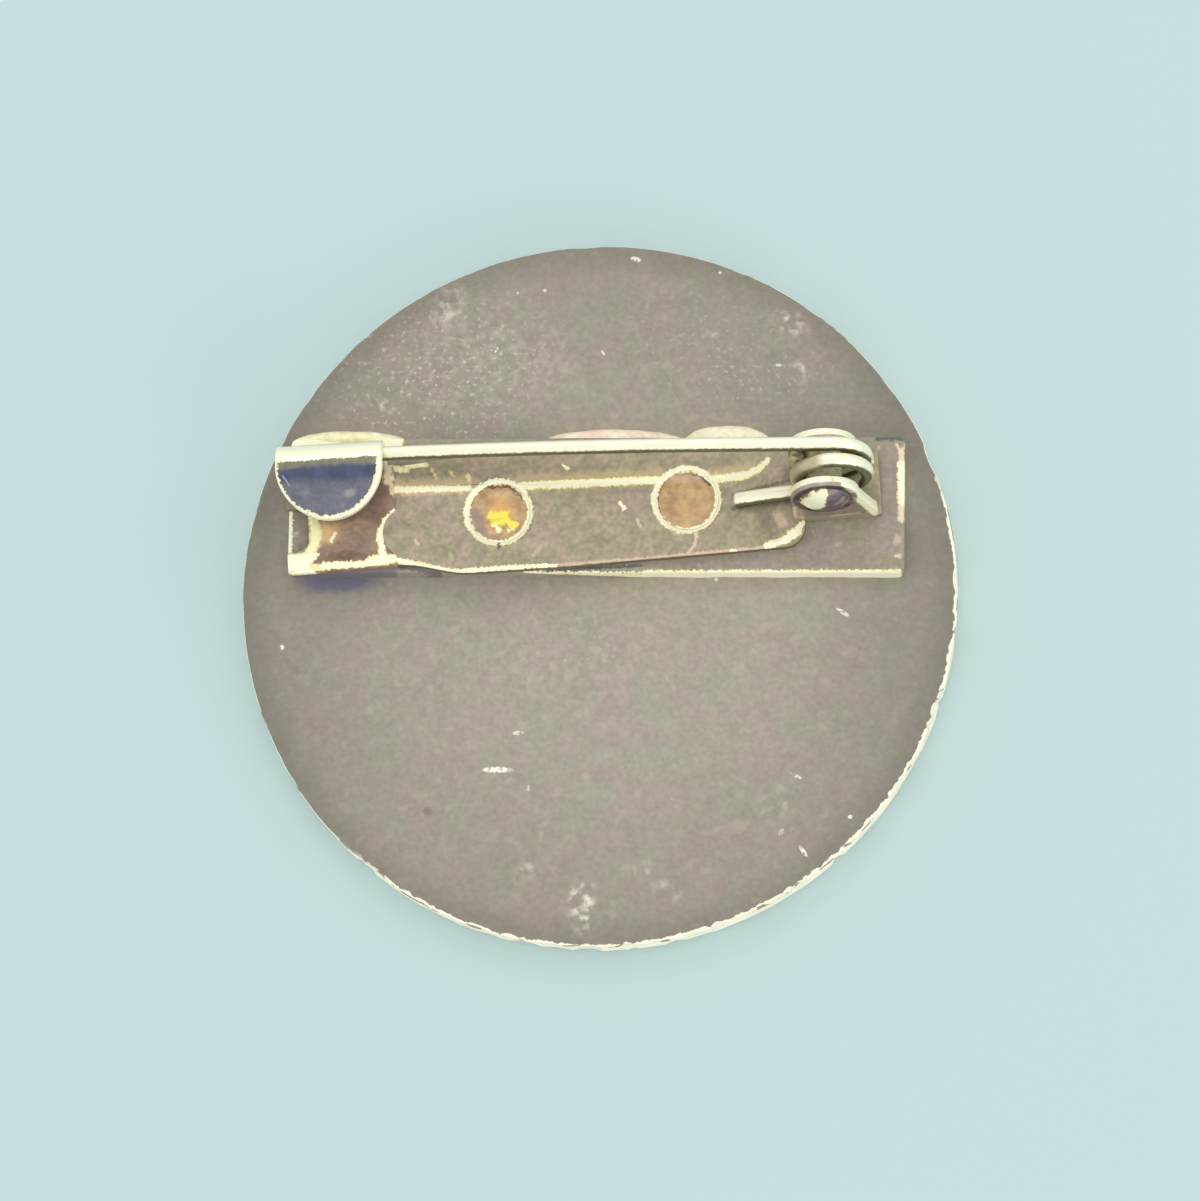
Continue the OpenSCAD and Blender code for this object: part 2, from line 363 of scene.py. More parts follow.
def round_edges(test, width, segments):
    """In edit mode, picks the edges that pass test and bevels them."""
    pick(test, "edges")
    bpy.ops.mesh.bevel(offset=width, segments=segments, affect="EDGES")


def slice_at(place, normal, **how):
    """In edit mode, cuts the whole mesh along a plane. how says what is filled and thrown away."""
    whole()
    bpy.ops.mesh.bisect(plane_co=place, plane_no=normal, **how)


def push(x=0.0, y=0.0, z=0.0):
    """Extrudes what is selected and moves it."""
    bpy.ops.mesh.extrude_region_move(TRANSFORM_OT_translate={"value": (x, y, z)})


def stretch(x=1.0, y=1.0, z=1.0, about=(0, 0, 0)):
    """Scales what is selected about a place."""
    bpy.ops.transform.resize(value=(x, y, z), center_override=about)


def modifier(obj, kind, **values):
    """Adds a modifier, sets its values and applies it."""
    take(obj)
    made = obj.modifiers.new(kind.lower(), kind)
    for key, value in values.items():
        setattr(made, key, value)
    bpy.ops.object.modifier_apply(modifier=made.name)
    return obj


ODD_PLACE = (-31.7, -17.3, -5.9)


def cut(obj, tool, how="DIFFERENCE"):
    """Cuts obj with a closed tool, and throws the tool away. A cut leaves its points in another
    order on each run, so they are then sorted by how far they are from the cursor, which stands
    at an odd place meanwhile, so that no two are equally far."""
    modifier(obj, "BOOLEAN", object=tool, operation=how, solver="EXACT")
    bpy.data.objects.remove(tool)
    edit(obj, "VERT")
    whole()
    scene.cursor.location = ODD_PLACE
    bpy.ops.mesh.sort_elements(type="CURSOR_DISTANCE", elements={"VERT", "EDGE", "FACE"})
    scene.cursor.location = (0, 0, 0)
    close()
    return obj


def outwards(obj, merge=0.0005):
    """Merges doubled points and turns all faces outwards."""
    edit(obj, "VERT")
    whole()
    bpy.ops.mesh.remove_doubles(threshold=merge)
    bpy.ops.mesh.normals_make_consistent(inside=False)
    close()
    return obj


SHORT = 0.02


def tidy_flats(obj):
    """Merges the short edges that a cut has left, and joins flat faces that it has split."""
    outwards(obj, SHORT)
    edit(obj, "VERT")
    whole()
    bpy.ops.mesh.dissolve_limited(angle_limit=math.radians(0.5))
    close()
    return obj


def soften(obj, width, segments=3, angle=35, slot=-1):
    """Rounds every edge sharper than angle. The new faces take the finish in slot, and with -1
    that of the faces beside them."""
    return modifier(obj, "BEVEL", width=width, segments=segments, limit_method="ANGLE",
                    angle_limit=math.radians(angle), material=slot, use_clamp_overlap=False)


def smooth(obj, angle=38, weighted=True):
    """Smooth shading, broken at edges sharper than angle. Weighted keeps flat faces flat."""
    take(obj)
    bpy.ops.object.shade_smooth_by_angle(angle=math.radians(angle))
    if weighted:
        modifier(obj, "WEIGHTED_NORMAL", keep_sharp=True)
    return obj


def new(name, add_tool, scale=(1, 1, 1), **where):
    """Adds a primitive with one of Blender's add tools, names it and stretches it to its size."""
    bpy.ops.object.select_all(action="DESELECT")
    add_tool(**where)
    obj = bpy.context.object
    obj.name = obj.data.name = name
    obj.scale = scale
    return apply_place(obj)


def copy_of(obj, name):
    """A copy with its own mesh."""
    made = obj.copy()
    made.data = obj.data.copy()
    made.name = made.data.name = name
    scene.collection.objects.link(made)
    return made


def apply_place(obj):
    """Puts an object's place, turn and scale into its mesh."""
    take(obj)
    bpy.ops.object.transform_apply(location=True, rotation=True, scale=True)
    return obj


def dress(obj, *finishes):
    """Gives an object its finishes. Faces start with the first one."""
    for finish in finishes:
        obj.data.materials.append(finish)
    return obj


def give_slot(obj, slot, test):
    """Gives the finish in slot to the faces that pass test, by normal and middle."""
    for face in obj.data.polygons:
        if test(face.normal, face.center):
            face.material_index = slot


NOISE_SEED = 5


def lumpy(obj, amount, size, seed):
    """Pushes the points about with smooth noise, as poured or cut things are. Without a seed
    set, Blender's noise_vector starts from the clock and differs on each run."""
    noise.seed_set(NOISE_SEED)
    shift = Vector((seed * 3.1, seed * 1.7, seed * 0.9))
    for v in obj.data.vertices:
        v.co += noise.noise_vector(v.co / size + shift) * amount
    return obj


def to_metres(obj, middle_at=(0.0, 0.0, 0.0), turn=0.0):
    """Turns and moves a finished piece to its place, shrinks it to metres and applies that."""
    apply_place(obj)
    obj.location = Vector(middle_at) * MM
    obj.rotation_euler = (0, 0, turn)
    obj.scale = (MM, MM, MM)
    return apply_place(obj)


def hand_over(obj, body, slot, *nodes):
    """Tells the frame which body carries a piece and which CAD nodes it stands for."""
    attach(obj, body)
    if nodes:
        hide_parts(*nodes)
    lo = [round(min(v.co[i] for v in obj.data.vertices) / MM, 2) for i in range(3)]
    hi = [round(max(v.co[i] for v in obj.data.vertices) / MM, 2) for i in range(3)]
    print(obj.name, "on", body, "from", lo, "to", hi, "mm,", len(obj.data.polygons), "faces")


# %% [markdown]
# ## Sizes from the CAD
# These repeat the CAD's driving sizes, in millimetres. The bar is glued on the pad at a small
# angle, so the bar and all that sits on it are modelled in the bar's own frame, with u along
# the bar and v across it, and turned into place at the end.

# %% Sizes
DISC_R, DISC_T = 15.0, 1.6
PAD_L, PAD_W, PAD_T = 25.8, 5.8, 1.0
PAD_MIDDLE = (-0.1, 3.5)
PAD_TOP = DISC_T + PAD_T
SHEET = 0.45
BAR_TOP = PAD_TOP + SHEET
BAR_MIDDLE = (-0.12, 3.33, 0.0)
BAR_TURN = math.radians(3.9)
HOLE_AT, HOLE_R = 3.95, 1.25
WIRE_R = 0.3
HINGE = Vector((9.67, 0.44, BAR_TOP + 1.72))
HINGE_LEAN = math.radians(10)
CURL_T = 0.35
CURL_OUT = 1.1
CURL_V, CURL_Z = 2.32, PAD_TOP + CURL_OUT
CATCH_U, CATCH_HALF = -10.83, 2.25


def on_bar(obj):
    """Turns and moves a piece from the bar's own frame to its place."""
    return to_metres(obj, BAR_MIDDLE, BAR_TURN)


def bar_place(tree, at):
    """In a finish, the place in the bar's own frame."""
    sockets = {"Vector": at, "Location": BAR_MIDDLE, "Rotation": (0, 0, BAR_TURN)}
    return add(tree, "Mapping", sockets, vector_type="TEXTURE").outputs[0]


def to_hinge(obj, x=0.0, n=0.0):
    """Moves a piece modelled round the origin to the leaning hinge, off its middle by x and n."""
    obj.location = (x, 0, n)
    apply_place(obj)
    obj.rotation_euler = (-HINGE_LEAN, 0, 0)
    obj.location = HINGE
    return apply_place(obj)


# %% [markdown]
# ## The disc
# The back of the brooch is a flat round plate with a matt grey coat. The coat is mottled, darker towards
# the rim, and carries small scratches and pale smears of dried glue. They are charted from the photograph
# as a short list of ellipses, and broken up by noise.
# The coat has come off the side of the disc, which is a ragged cream line all along the lower right; there
# the top's rim is painted cream as well, partly as worn coat and partly as a painted highlight. The front
# is hidden, so it gets the same coat without the marks.

# %% Grey coat
SMEARS = [(-4.8, 10.0, 5.6, 3.4, 10, 0.2), (-6.6, 12.3, 0.9, 1.5, -20, 0.5),
          (-0.4, -13.2, 0.8, 1.7, 5, 1.0), (-2.8, -11.8, 0.6, 0.6, 0, 0.5),
          (2.1, -11.7, 0.7, 0.5, 20, 0.5), (3.1, -12.6, 0.9, 0.6, -20, 0.45),
          (7.9, 11.6, 1.2, 0.7, -25, 0.7), (8.4, 9.5, 0.7, 0.7, 0, 0.6),
          (-9.1, 8.0, 0.5, 0.4, 0, 0.6), (7.6, -8.9, 1.6, 1.0, 30, 0.25),
          (-1.5, -3.2, 6.0, 3.0, 0, 0.1)]
SCRATCHES = [(-4.07, -7.58, 0.76, 0.15, 0, 1.0), (-3.23, -6.02, 0.28, 0.1, 5, 0.8),
             (-2.76, -8.34, 0.1, 0.16, 0, 0.5), (-13.25, -2.4, 0.1, 0.13, 0, 1.0),
             (10.25, -0.9, 0.42, 0.1, -32, 0.8), (8.36, -7.8, 0.3, 0.08, -25, 0.8),
             (8.67, -10.93, 0.34, 0.1, -55, 1.0), (10.6, -9.5, 0.12, 0.1, 0, 1.0),
             (7.76, -10.14, 0.2, 0.12, 60, 0.4), (4.95, 0.5, 0.12, 0.1, 0, 0.6),
             (1.35, 14.4, 0.28, 0.13, -15, 0.8), (4.95, 13.8, 0.1, 0.08, 0, 0.8),
             (-2.5, 13.05, 0.1, 0.08, 0, 0.7), (-3.65, 12.95, 0.08, 0.08, 0, 0.5),
             (-4.5, 10.45, 0.18, 0.05, 60, 0.8), (0.03, 10.3, 0.18, 0.06, -60, 0.8),
             (7.45, 9.75, 0.16, 0.08, 0, 0.8), (-7.4, 6.5, 0.3, 0.06, -20, 0.3)]
STAINS = [(-6.95, -9.35, 0.3, 0.26, 0, 0.45)]
CATCH_SHADOW = [(-10.85, 0.42, 2.3, 0.6, 2, 0.9)]
SPECKLED = [(-6.5, 9.0, 7.5, 5.5, 20, 0.7), (5.5, 10.0, 7.0, 4.0, -20, 0.4),
            (0.0, -2.5, 8.0, 2.6, 0, 0.25)]
BARE = tone(255, 252, 232)
LIT_LOWER_RIGHT = (0.58, -0.82, 0)


def across(tree, at):
    """The distance from the disc's middle, seen from above."""
    flat = add(tree, "VectorMath", {0: at, 1: (1, 1, 0)}, operation="MULTIPLY").outputs[0]
    return add(tree, "VectorMath", {0: flat}, operation="LENGTH").outputs["Value"]


def scaled_mix(tree, mask, amount, colour, other):
    """A colour with another laid over it by a mask, but never by more than amount."""
    return mix(tree, calc(tree, "MULTIPLY", mask, amount), colour, other)


def broken_by(tree, mask, at, size, low, high, detail=2.0):
    """A mask kept only where noise whose lumps are size millimetres is high."""
    return calc(tree, "MULTIPLY", mask, level(tree, cloud(tree, at, size, detail), low, high))


def disc_coat():
    """Grey coat in soft patches and fine grain, darker outwards, with all its marks."""
    made, tree, shader, at = new_finish("disc_coat", 0.8)
    grain = cloud(tree, at, 0.3, 3.0)
    colour = two_tone(tree, at, 1.6, tone(163, 162, 147), tone(168, 159, 150))
    colour = mottle(tree, colour, at, 5.0, 0.985, 1.015)
    colour = mottle(tree, colour, at, 0.75, 0.95, 1.05)
    colour = mottle(tree, colour, at, 0.22, 0.92, 1.08, 4.0)
    spots = level(tree, cloud(tree, at, 0.6), 0.6, 0.74)
    colour = scaled_mix(tree, spots, 0.4, colour, tone(192, 186, 164))
    out = across(tree, at)
    aside = calc(tree, "ABSOLUTE", add(tree, "SeparateXYZ", {0: at}).outputs["X"])
    # Painted shade: the coat is darker towards the rim, and towards the left and right sides.
    colour = scaled_mix(tree, level(tree, out, 6.0, 14.4), 0.22, colour, (0.12, 0.11, 0.095, 1))
    colour = scaled_mix(tree, level(tree, out, 13.4, 14.9), 0.3, colour, (0.09, 0.085, 0.06, 1))
    colour = scaled_mix(tree, level(tree, aside, 8.0, 14.0), 0.2, colour, (0.13, 0.13, 0.13, 1))
    smeared = broken_by(tree, marks(tree, at, SMEARS, 0.2), at, 0.38, 0.44, 0.72, 4.0)
    colour = mix(tree, smeared, colour, tone(236, 232, 216))
    scratched = broken_by(tree, marks(tree, at, SCRATCHES, 0.6), at, 0.16, 0.34, 0.52)
    colour = mix(tree, scratched, colour, tone(252, 250, 240))
    dusty = broken_by(tree, marks(tree, at, SPECKLED, 0.1), at, 0.2, 0.56, 0.72, 3.0)
    colour = mix(tree, dusty, colour, tone(226, 220, 204))
    colour = mix(tree, marks(tree, at, STAINS, 0.3), colour, tone(96, 92, 88))
    # Painted shadow of the catch: a violet patch on the coat below it.
    colour = mix(tree, marks(tree, torn(tree, at, 0.4, 0.3), CATCH_SHADOW, 0.35), colour, tone(114, 112, 140))
    # A ragged cream band on the top's rim, only along the lower right: partly worn coat, partly a painted
    # highlight where the side catches the light.
    sockets = {0: at, 1: LIT_LOWER_RIGHT}
    aim = add(tree, "VectorMath", sockets, operation="DOT_PRODUCT").outputs["Value"]
    ragged = plus_noise(tree, out, at, 0.35, 0.34, 3.0)
    worn_and_lit = calc(tree, "MULTIPLY", level(tree, ragged, 15.02, 15.06), level(tree, aim, 2.0, 6.0))
    colour = mix(tree, worn_and_lit, colour, BARE)
    colour_to(tree, shader, colour)
    bumps(tree, shader, grain, 0.35, 0.03)
    return made


def bare_rim():
    """Cream metal, with rests of the coat near the upper rim."""
    made, tree, shader, at = new_finish("bare_rim", 0.6)
    colour = mottle(tree, BARE, at, 0.8, 0.86, 1.05)
    height = add(tree, "SeparateXYZ", {0: at}).outputs["Z"]
    kept = calc(tree, "ADD", cloud(tree, at, 0.9, 4.0), calc(tree, "MULTIPLY", height, 0.14))
    colour_to(tree, shader, mix(tree, level(tree, kept, 0.77, 0.8), colour, tone(150, 144, 122)))
    bumps(tree, shader, cloud(tree, at, 0.3, 3.0), 0.5, 0.05)
    return made


def plain_front():
    """The side that the photograph hides: the same coat, without the marks of the back."""
    made, tree, shader, at = new_finish("plain_front", 0.6)
    colour = mottle(tree, tone(165, 160, 148), at, 4.0, 0.97, 1.03)
    colour_to(tree, shader, mottle(tree, colour, at, 0.3, 0.96, 1.04))
    return made


# %% [markdown]
# A cylinder is the start. The upper rim is rounded a little and the lower one, where such a
# button turns over to its front, a lot. Then points near the rims are pushed in, in short runs
# like small chips, so that the outline is no perfect circle. The chips are deepest along the
# lower right, where the coat has gone.

# %% Disc with a worn rim
RIM_STEPS = 720
CHIP_SEED = 11
CHIP_WORN, CHIP_ELSEWHERE = 0.24, 0.04
disc = new("disc_body", bpy.ops.mesh.primitive_cylinder_add, vertices=RIM_STEPS, radius=DISC_R,
           depth=DISC_T, location=(0, 0, DISC_T / 2))
edit(disc, "EDGE")
round_edges(lambda e: all(v.co.z > DISC_T / 2 for v in e.verts), 0.12, 2)
round_edges(lambda e: all(v.co.z < 0.01 for v in e.verts), 0.45, 5)
close()
edit(disc)
for facing in (1, -1):
    pick(lambda f: f.normal.z * facing > 0.99)
    for inset in (0.3, 0.7, 2.5):
        bpy.ops.mesh.inset(thickness=inset)
close()


def chip_rim(obj):
    """Moves the points of both rims in by small amounts, in runs like chips. They are deepest
    round the lower right, where worn is high."""
    draw = random.Random(CHIP_SEED)
    depth = {}
    for above in (True, False):
        row = []
        while len(row) < RIM_STEPS:
            run = draw.randint(2, 12)
            worn = math.cos(math.radians(len(row) * 360 / RIM_STEPS + 57))
            nick = draw.random() ** 3 * (CHIP_WORN if worn > 0.2 else CHIP_ELSEWHERE)
            row += [nick * math.sin(math.pi * (k + 0.5) / run) ** 0.6 for k in range(run)]
        depth[above] = row
    for v in obj.data.vertices:
        out = math.hypot(v.co.x, v.co.y)
        if out > DISC_R - 0.5:
            above = v.co.z > DISC_T / 2
            degrees = math.degrees(math.atan2(v.co.y, v.co.x))
            step = int(round(degrees * RIM_STEPS / 360)) % RIM_STEPS
            share = (out - depth[above][step] * (1.0 if above else 0.6) - 0.006) / out
            v.co.x *= share
            v.co.y *= share


chip_rim(disc)
outwards(disc)
dress(disc, disc_coat(), bare_rim(), plain_front())
give_slot(disc, 1, lambda normal, place: abs(normal.z) < 0.8)
give_slot(disc, 2, lambda normal, place: normal.z <= -0.8)
smooth(disc, 50)
to_metres(disc)
hand_over(disc, "base", "disc", "disc")

# %% [markdown]
# ## The adhesive pad
# A clear block of adhesive holds the bar. Seen from above it shows the grey disc through itself, and
# painted highlights run cream along its cut edges, where light would leave them, most along the lower
# edge. The painted line along that edge thins out towards the left, because there only the lowest part of
# the side shines. Painted shade lies under the plate's edges and along the far upper edge, and a painted
# shadow of the catch lies on its lower left side. A cube is stretched to the pad's size, its corners and
# rims are rounded with bevels, and it is cut into short lengths so that its edges can waver, as cut tape
# does.

# %% Clear pad
PAD_HIGHLIGHT_LINE = [(-3.0, 0.55, -1.0, 0.53, 0.14, 1.0), (-1.0, 0.51, 2.0, 0.5, 0.17, 1.0),
            (2.0, 0.48, 12.55, 0.5, 0.27, 1.0)]
PAD_EDGE_HIGHLIGHT = [(12.66, 5.2, 12.66, 3.6, 0.21, 1.0), (-12.8, 6.1, -8.7, 6.2, 0.6, 1.0),
             (-12.95, 3.5, -12.95, 1.5, 0.18, 1.0)]
PAD_PINK_HIGHLIGHT = [(12.66, 5.8, 12.66, 5.2, 0.16, 0.9), (12.66, 3.6, 12.66, 2.85, 0.2, 0.9),
            (12.42, 6.05, 12.6, 5.8, 0.07, 0.9), (12.8, 6.05, 12.68, 5.8, 0.07, 0.9),
            (12.5, 1.9, 12.5, 2.05, 0.22, 0.4), (12.5, 1.29, 12.6, 1.29, 0.14, 0.8)]
PAD_SHADE = [(11.6, 6.3, 12.75, 6.3, 0.13, 0.85), (-2.0, 0.72, 0.2, 0.8, 0.1, 0.9),
             (0.2, 0.8, 1.9, 0.88, 0.08, 0.75), (-8.5, 0.86, -6.6, 0.62, 0.14, 0.75),
             (11.75, 5.6, 11.75, 3.2, 0.2, 0.25)]
PAD_CATCH_SHADOW = [(-12.7, 0.56, -8.6, 0.56, 0.3, 0.8)]
PAD_STEP = 0.4


def clear_pad():
    """The coat's grey seen through clear glue, with pale flecks, painted highlights along the cut edges,
    painted shade and a painted shadow.
    """
    made, tree, shader, at = new_finish("clear_pad", 0.4)
    colour = two_tone(tree, at, 1.4, tone(154, 151, 131), tone(160, 148, 140))
    colour = mottle(tree, colour, at, 0.7, 0.92, 1.08)
    colour = mottle(tree, colour, at, 0.22, 0.88, 1.12, 4.0)
    colour = mix(tree, level(tree, cloud(tree, at, 0.5, 4.0), 0.66, 0.8), colour, tone(206, 198, 178))
    ragged = torn(tree, at)
    # Painted shade under the plate's edges and along the far upper edge, the painted shadow of the catch
    # on the lower left side, and pinkish painted highlights on the right edge.
    colour = paint(tree, ragged, colour, (PAD_SHADE, tone(82, 90, 92)), (PAD_CATCH_SHADOW, tone(112, 106, 118)),
                   (PAD_PINK_HIGHLIGHT, tone(246, 222, 200)))
    place = add(tree, "SeparateXYZ", {0: at}).outputs
    down_to = calc(tree, "ADD", place["Z"], calc(tree, "MULTIPLY", place["X"], 0.17))
    # Painted highlights: cream lines along the cut edges, where light would leave the block. The pinkish
    # highlights on the right edge are painted above.
    line = calc(tree, "MULTIPLY", strokes(tree, ragged, PAD_HIGHLIGHT_LINE), level(tree, down_to, 1.88, 2.0))
    line = calc(tree, "MAXIMUM", line, strokes(tree, ragged, PAD_EDGE_HIGHLIGHT))
    colour_to(tree, shader, painted_highlight(tree, shader, at, line, colour))
    bumps(tree, shader, cloud(tree, at, 0.5), 0.3, 0.03)
    return made


pad = new("pad_block", bpy.ops.mesh.primitive_cube_add, size=1,
          location=(*PAD_MIDDLE, DISC_T + PAD_T / 2), scale=(PAD_L, PAD_W, PAD_T))
edit(pad, "EDGE")
round_edges(lambda e: rises(e, 0.5), 0.3, 6)
round_edges(lambda e: all(v.co.z > PAD_TOP - 0.01 for v in e.verts), 0.2, 4)
for step in range(1, int(PAD_L / PAD_STEP)):
    slice_at((PAD_MIDDLE[0] - PAD_L / 2 + PAD_STEP * step, 0, 0), (1, 0, 0))
close()
lumpy(pad, 0.03, 0.9, 2)
outwards(pad)
dress(pad, clear_pad())
smooth(pad)
to_metres(pad)
hand_over(pad, "base", "pad", "adhesive_pad")

# %% [markdown]
# ## Metal finishes
# The bar is nickelled brass that has gone dull: grey, a little warm, mottled, with pale specks of glue.
# Its highlights are painted: uneven cream strokes follow the pressed ledge, the plate's lower edge and the
# glue smears, a ring follows each hole, a painted haze of light lies along the ledge, and pinkish painted
# highlights and painted shade lie here and there. Walls that look sideways are dark, partly from tarnish
# and partly as painted shade under the edges, and the lower side of every wire carries painted shade,
# which reads the Object space normal, so that it turns with the pin.

# %% Dull metal, painted highlights, dark walls and wire
HOLE_RING_HIGHLIGHT = [(-4.0, 0.03, 1.33, 0.17, 1.0), (3.87, 0.03, 1.33, 0.17, 1.0)]
LEDGE_HIGHLIGHT = [(-8.37, 1.28, -5.2, 1.14, 0.2, 0.8), (-2.95, 1.08, 2.7, 0.93, 0.26, 0.7),
               (5.1, 0.8, 6.4, 0.88, 0.25, 0.7), (6.4, 0.88, 7.0, 1.14, 0.22, 0.7),
               (7.0, 1.14, 7.37, 1.46, 0.15, 0.7)]
SMEAR_HIGHLIGHT = [(-8.33, 2.18, -7.8, 2.12, 0.2, 0.6), (-7.82, 2.25, -6.95, 2.3, 0.16, 0.55),
               (-6.7, 2.05, -6.55, 1.7, 0.11, 0.3), (-5.23, 1.74, -5.16, 1.48, 0.13, 0.3),
               (-6.0, 1.93, -5.74, 1.69, 0.08, 0.25), (-1.2, 1.85, -1.0, 1.7, 0.1, 0.6),
               (1.11, 0.05, 1.26, -0.2, 0.1, 1.0), (8.34, 1.69, 8.42, 1.62, 0.12, 1.0)]
LOWER_EDGE_HIGHLIGHT = [(-8.5, -1.72, -7.16, -2.07, 0.16, 1.0), (-7.16, -2.07, -6.0, -2.4, 0.15, 1.0),
               (-6.0, -2.4, -3.2, -2.39, 0.14, 1.0), (-3.2, -2.39, -1.7, -2.42, 0.11, 1.0),
               (5.6, -2.34, 5.8, -2.34, 0.11, 1.0), (7.1, -2.2, 7.9, -1.98, 0.2, 1.0),
               (7.9, -1.98, 8.4, -1.65, 0.25, 1.0), (8.4, -1.65, 8.62, -1.35, 0.17, 1.0)]
BAR_PINK_HIGHLIGHT = [(-8.45, 2.1, -8.45, 1.5, 0.12, 0.7), (-8.0, 1.05, -5.5, 0.95, 0.1, 0.3),
            (-1.7, -2.42, 4.0, -2.34, 0.09, 0.6), (4.0, -2.34, 7.0, -2.27, 0.11, 0.7),
            (4.13, -1.3, 4.22, -1.62, 0.1, 0.9), (4.22, -1.62, 4.09, -1.95, 0.1, 0.8),
            (4.09, -1.95, 3.85, -2.25, 0.1, 0.7), (1.78, -0.72, 1.89, -1.03, 0.09, 0.6),
            (-7.53, -0.93, -7.41, -1.11, 0.09, 0.7), (-2.6, -1.9, -2.35, -1.65, 0.15, 0.4),
            (7.6, -1.0, 7.8, -1.25, 0.3, 0.4), (8.5, 1.47, 8.8, 0.93, 0.1, 0.8),
            (2.8, -0.75, 3.4, -1.35, 0.22, 0.5), (-6.1, -1.6, -6.0, -1.9, 0.1, 0.3)]
BAR_LIGHT_HAZE = [(-8.37, 1.4, -5.2, 1.26, 0.5, 0.45), (-2.95, 1.2, 2.7, 1.05, 0.55, 0.45),
            (5.1, 0.95, 6.6, 1.05, 0.5, 0.45)]
BAR_SHADE = [(7.0, -0.8, 7.4, -1.7, 0.5, 0.3), (5.8, 0.05, 8.3, 0.55, 0.1, 0.5),
             (5.8, -0.5, 8.2, -0.1, 0.12, 0.55), (-4.05, -1.15, -4.06, -1.5, 0.1, 0.9),
             (8.3, 0.9, 8.7, 0.5, 0.5, 0.3)]


def dull_metal():
    """The plate's face: dull grey, with a painted haze of light along the ledge, painted highlights,
    pinkish painted highlights and painted shade.
    """
    made, tree, shader, at = new_finish("dull_metal", 0.5, 1.0)
    at = bar_place(tree, at)
    colour = two_tone(tree, at, 1.2, tone(168, 163, 138), tone(178, 163, 148))
    colour = mottle(tree, colour, at, 0.6, 0.9, 1.1)
    colour = mottle(tree, colour, at, 0.2, 0.86, 1.14, 4.0)
    # A painted haze of light round the highlight along the pressed ledge.
    colour = paint(tree, torn(tree, at, 0.3, 0.3), colour, (BAR_LIGHT_HAZE, tone(230, 210, 164)))
    ragged = torn(tree, at)
    # Pinkish painted highlights, dimmer than the cream ones, along the edges, the ledge and round the
    # right hole.
    colour = paint(tree, ragged, colour, (BAR_PINK_HIGHLIGHT, tone(240, 214, 190)))
    # Painted highlights: rings round the holes, and lines along the ledge, the lower edge, and the pale
    # glue smears and glints.
    lit = rings(tree, ragged, HOLE_RING_HIGHLIGHT, strokes(tree, ragged, LEDGE_HIGHLIGHT + SMEAR_HIGHLIGHT + LOWER_EDGE_HIGHLIGHT))
    colour = painted_highlight(tree, shader, at, lit, colour)
    # Painted shade along both sides of the tail, below the left hole, by the block and near the lower
    # right corner.
    colour = paint(tree, ragged, colour, (BAR_SHADE, tone(84, 80, 76)))
    colour_to(tree, shader, colour, plus_noise(tree, 0.36, at, 0.5, 0.25, 4.0))
    bumps(tree, shader, cloud(tree, at, 0.25, 3.0), 0.25, 0.02)
    return made


def highlight_edge():
    """A painted highlight for a rim: cream, with a few yellow patches."""
    made, tree, shader, at = new_finish("highlight_edge", 0.36, 0.55)
    yellow = level(tree, cloud(tree, at, 0.2, 3.0), 0.58, 0.74)
    colour = mix(tree, yellow, HIGHLIGHT_CREAM, tone(240, 226, 166))
    colour_to(tree, shader, colour, plus_noise(tree, 0.26, at, 0.3, 0.3, 3.0))
    bumps(tree, shader, cloud(tree, at, 0.14, 3.0), 0.3, 0.02)
    return made


def tarnish():
    """The sheet's dark cut walls: partly tarnish, partly painted shade under the edges."""
    made, tree, shader, at = new_finish("tarnish", 0.55, 0.85)
    colour = mix(tree, cloud(tree, at, 0.7, 3.0), tone(138, 134, 112), tone(156, 138, 130))
    colour_to(tree, shader, mottle(tree, colour, at, 0.2, 0.8, 1.15, 3.0))
    bumps(tree, shader, cloud(tree, at, 0.2), 0.3, 0.02)
    return made


SHADED_SIDE = (0, -0.978, -0.21)


def wire_metal(name, dull_end=None):
    """Bright wire, with painted shade on its lower side. dull_end is a place along the bar and a height:
    left of the one and above the other, the coil is duller as well."""
    made, tree, shader, at = new_finish(name, 0.3, 0.6)
    colour = mottle(tree, tone(255, 254, 230), at, 0.8, 0.95, 1.05)
    # Painted shade on the side of the wire that faces down and towards the lower edge.
    sockets = {0: add(tree, "TexCoord").outputs["Normal"], 1: SHADED_SIDE}
    down = add(tree, "VectorMath", sockets, operation="DOT_PRODUCT").outputs["Value"]
    down = plus_noise(tree, down, at, 0.15, 0.4, 3.0)
    colour = mix(tree, level(tree, down, 0.64, 0.88), colour, tone(118, 113, 84))
    if dull_end:
        place = add(tree, "SeparateXYZ", {0: bar_place(tree, at)})
        left = calc(tree, "MULTIPLY", level(tree, place.outputs["X"], dull_end[0] + 0.5, dull_end[0]),
                    level(tree, place.outputs["Z"], dull_end[1], dull_end[1] + 0.2))
        colour = mix(tree, left, colour, tone(194, 182, 152))
    colour_to(tree, shader, colour, plus_noise(tree, 0.26, at, 0.3, 0.16, 3.0))
    bumps(tree, shader, cloud(tree, at, 0.1), 0.12, 0.01)
    return made


DULL, EAR_RIM_HIGHLIGHT, DARK, WIRE = dull_metal(), highlight_edge(), tarnish(), wire_metal("wire_metal")
print("metals:", [m.name for m in (DULL, EAR_RIM_HIGHLIGHT, DARK, WIRE)])

# %% [markdown]
# ## The bar
# The bar is one stamping of thin sheet: a seat under the catch, a plate with two holes and a
# narrow block that carries the ears. Its outline is drawn as a strip, the way one would by
# hand: a small plane at the left end, whose right edge is extruded and scaled again and again
# until it has run along the whole outline. Solidify then gives the strip its thickness.

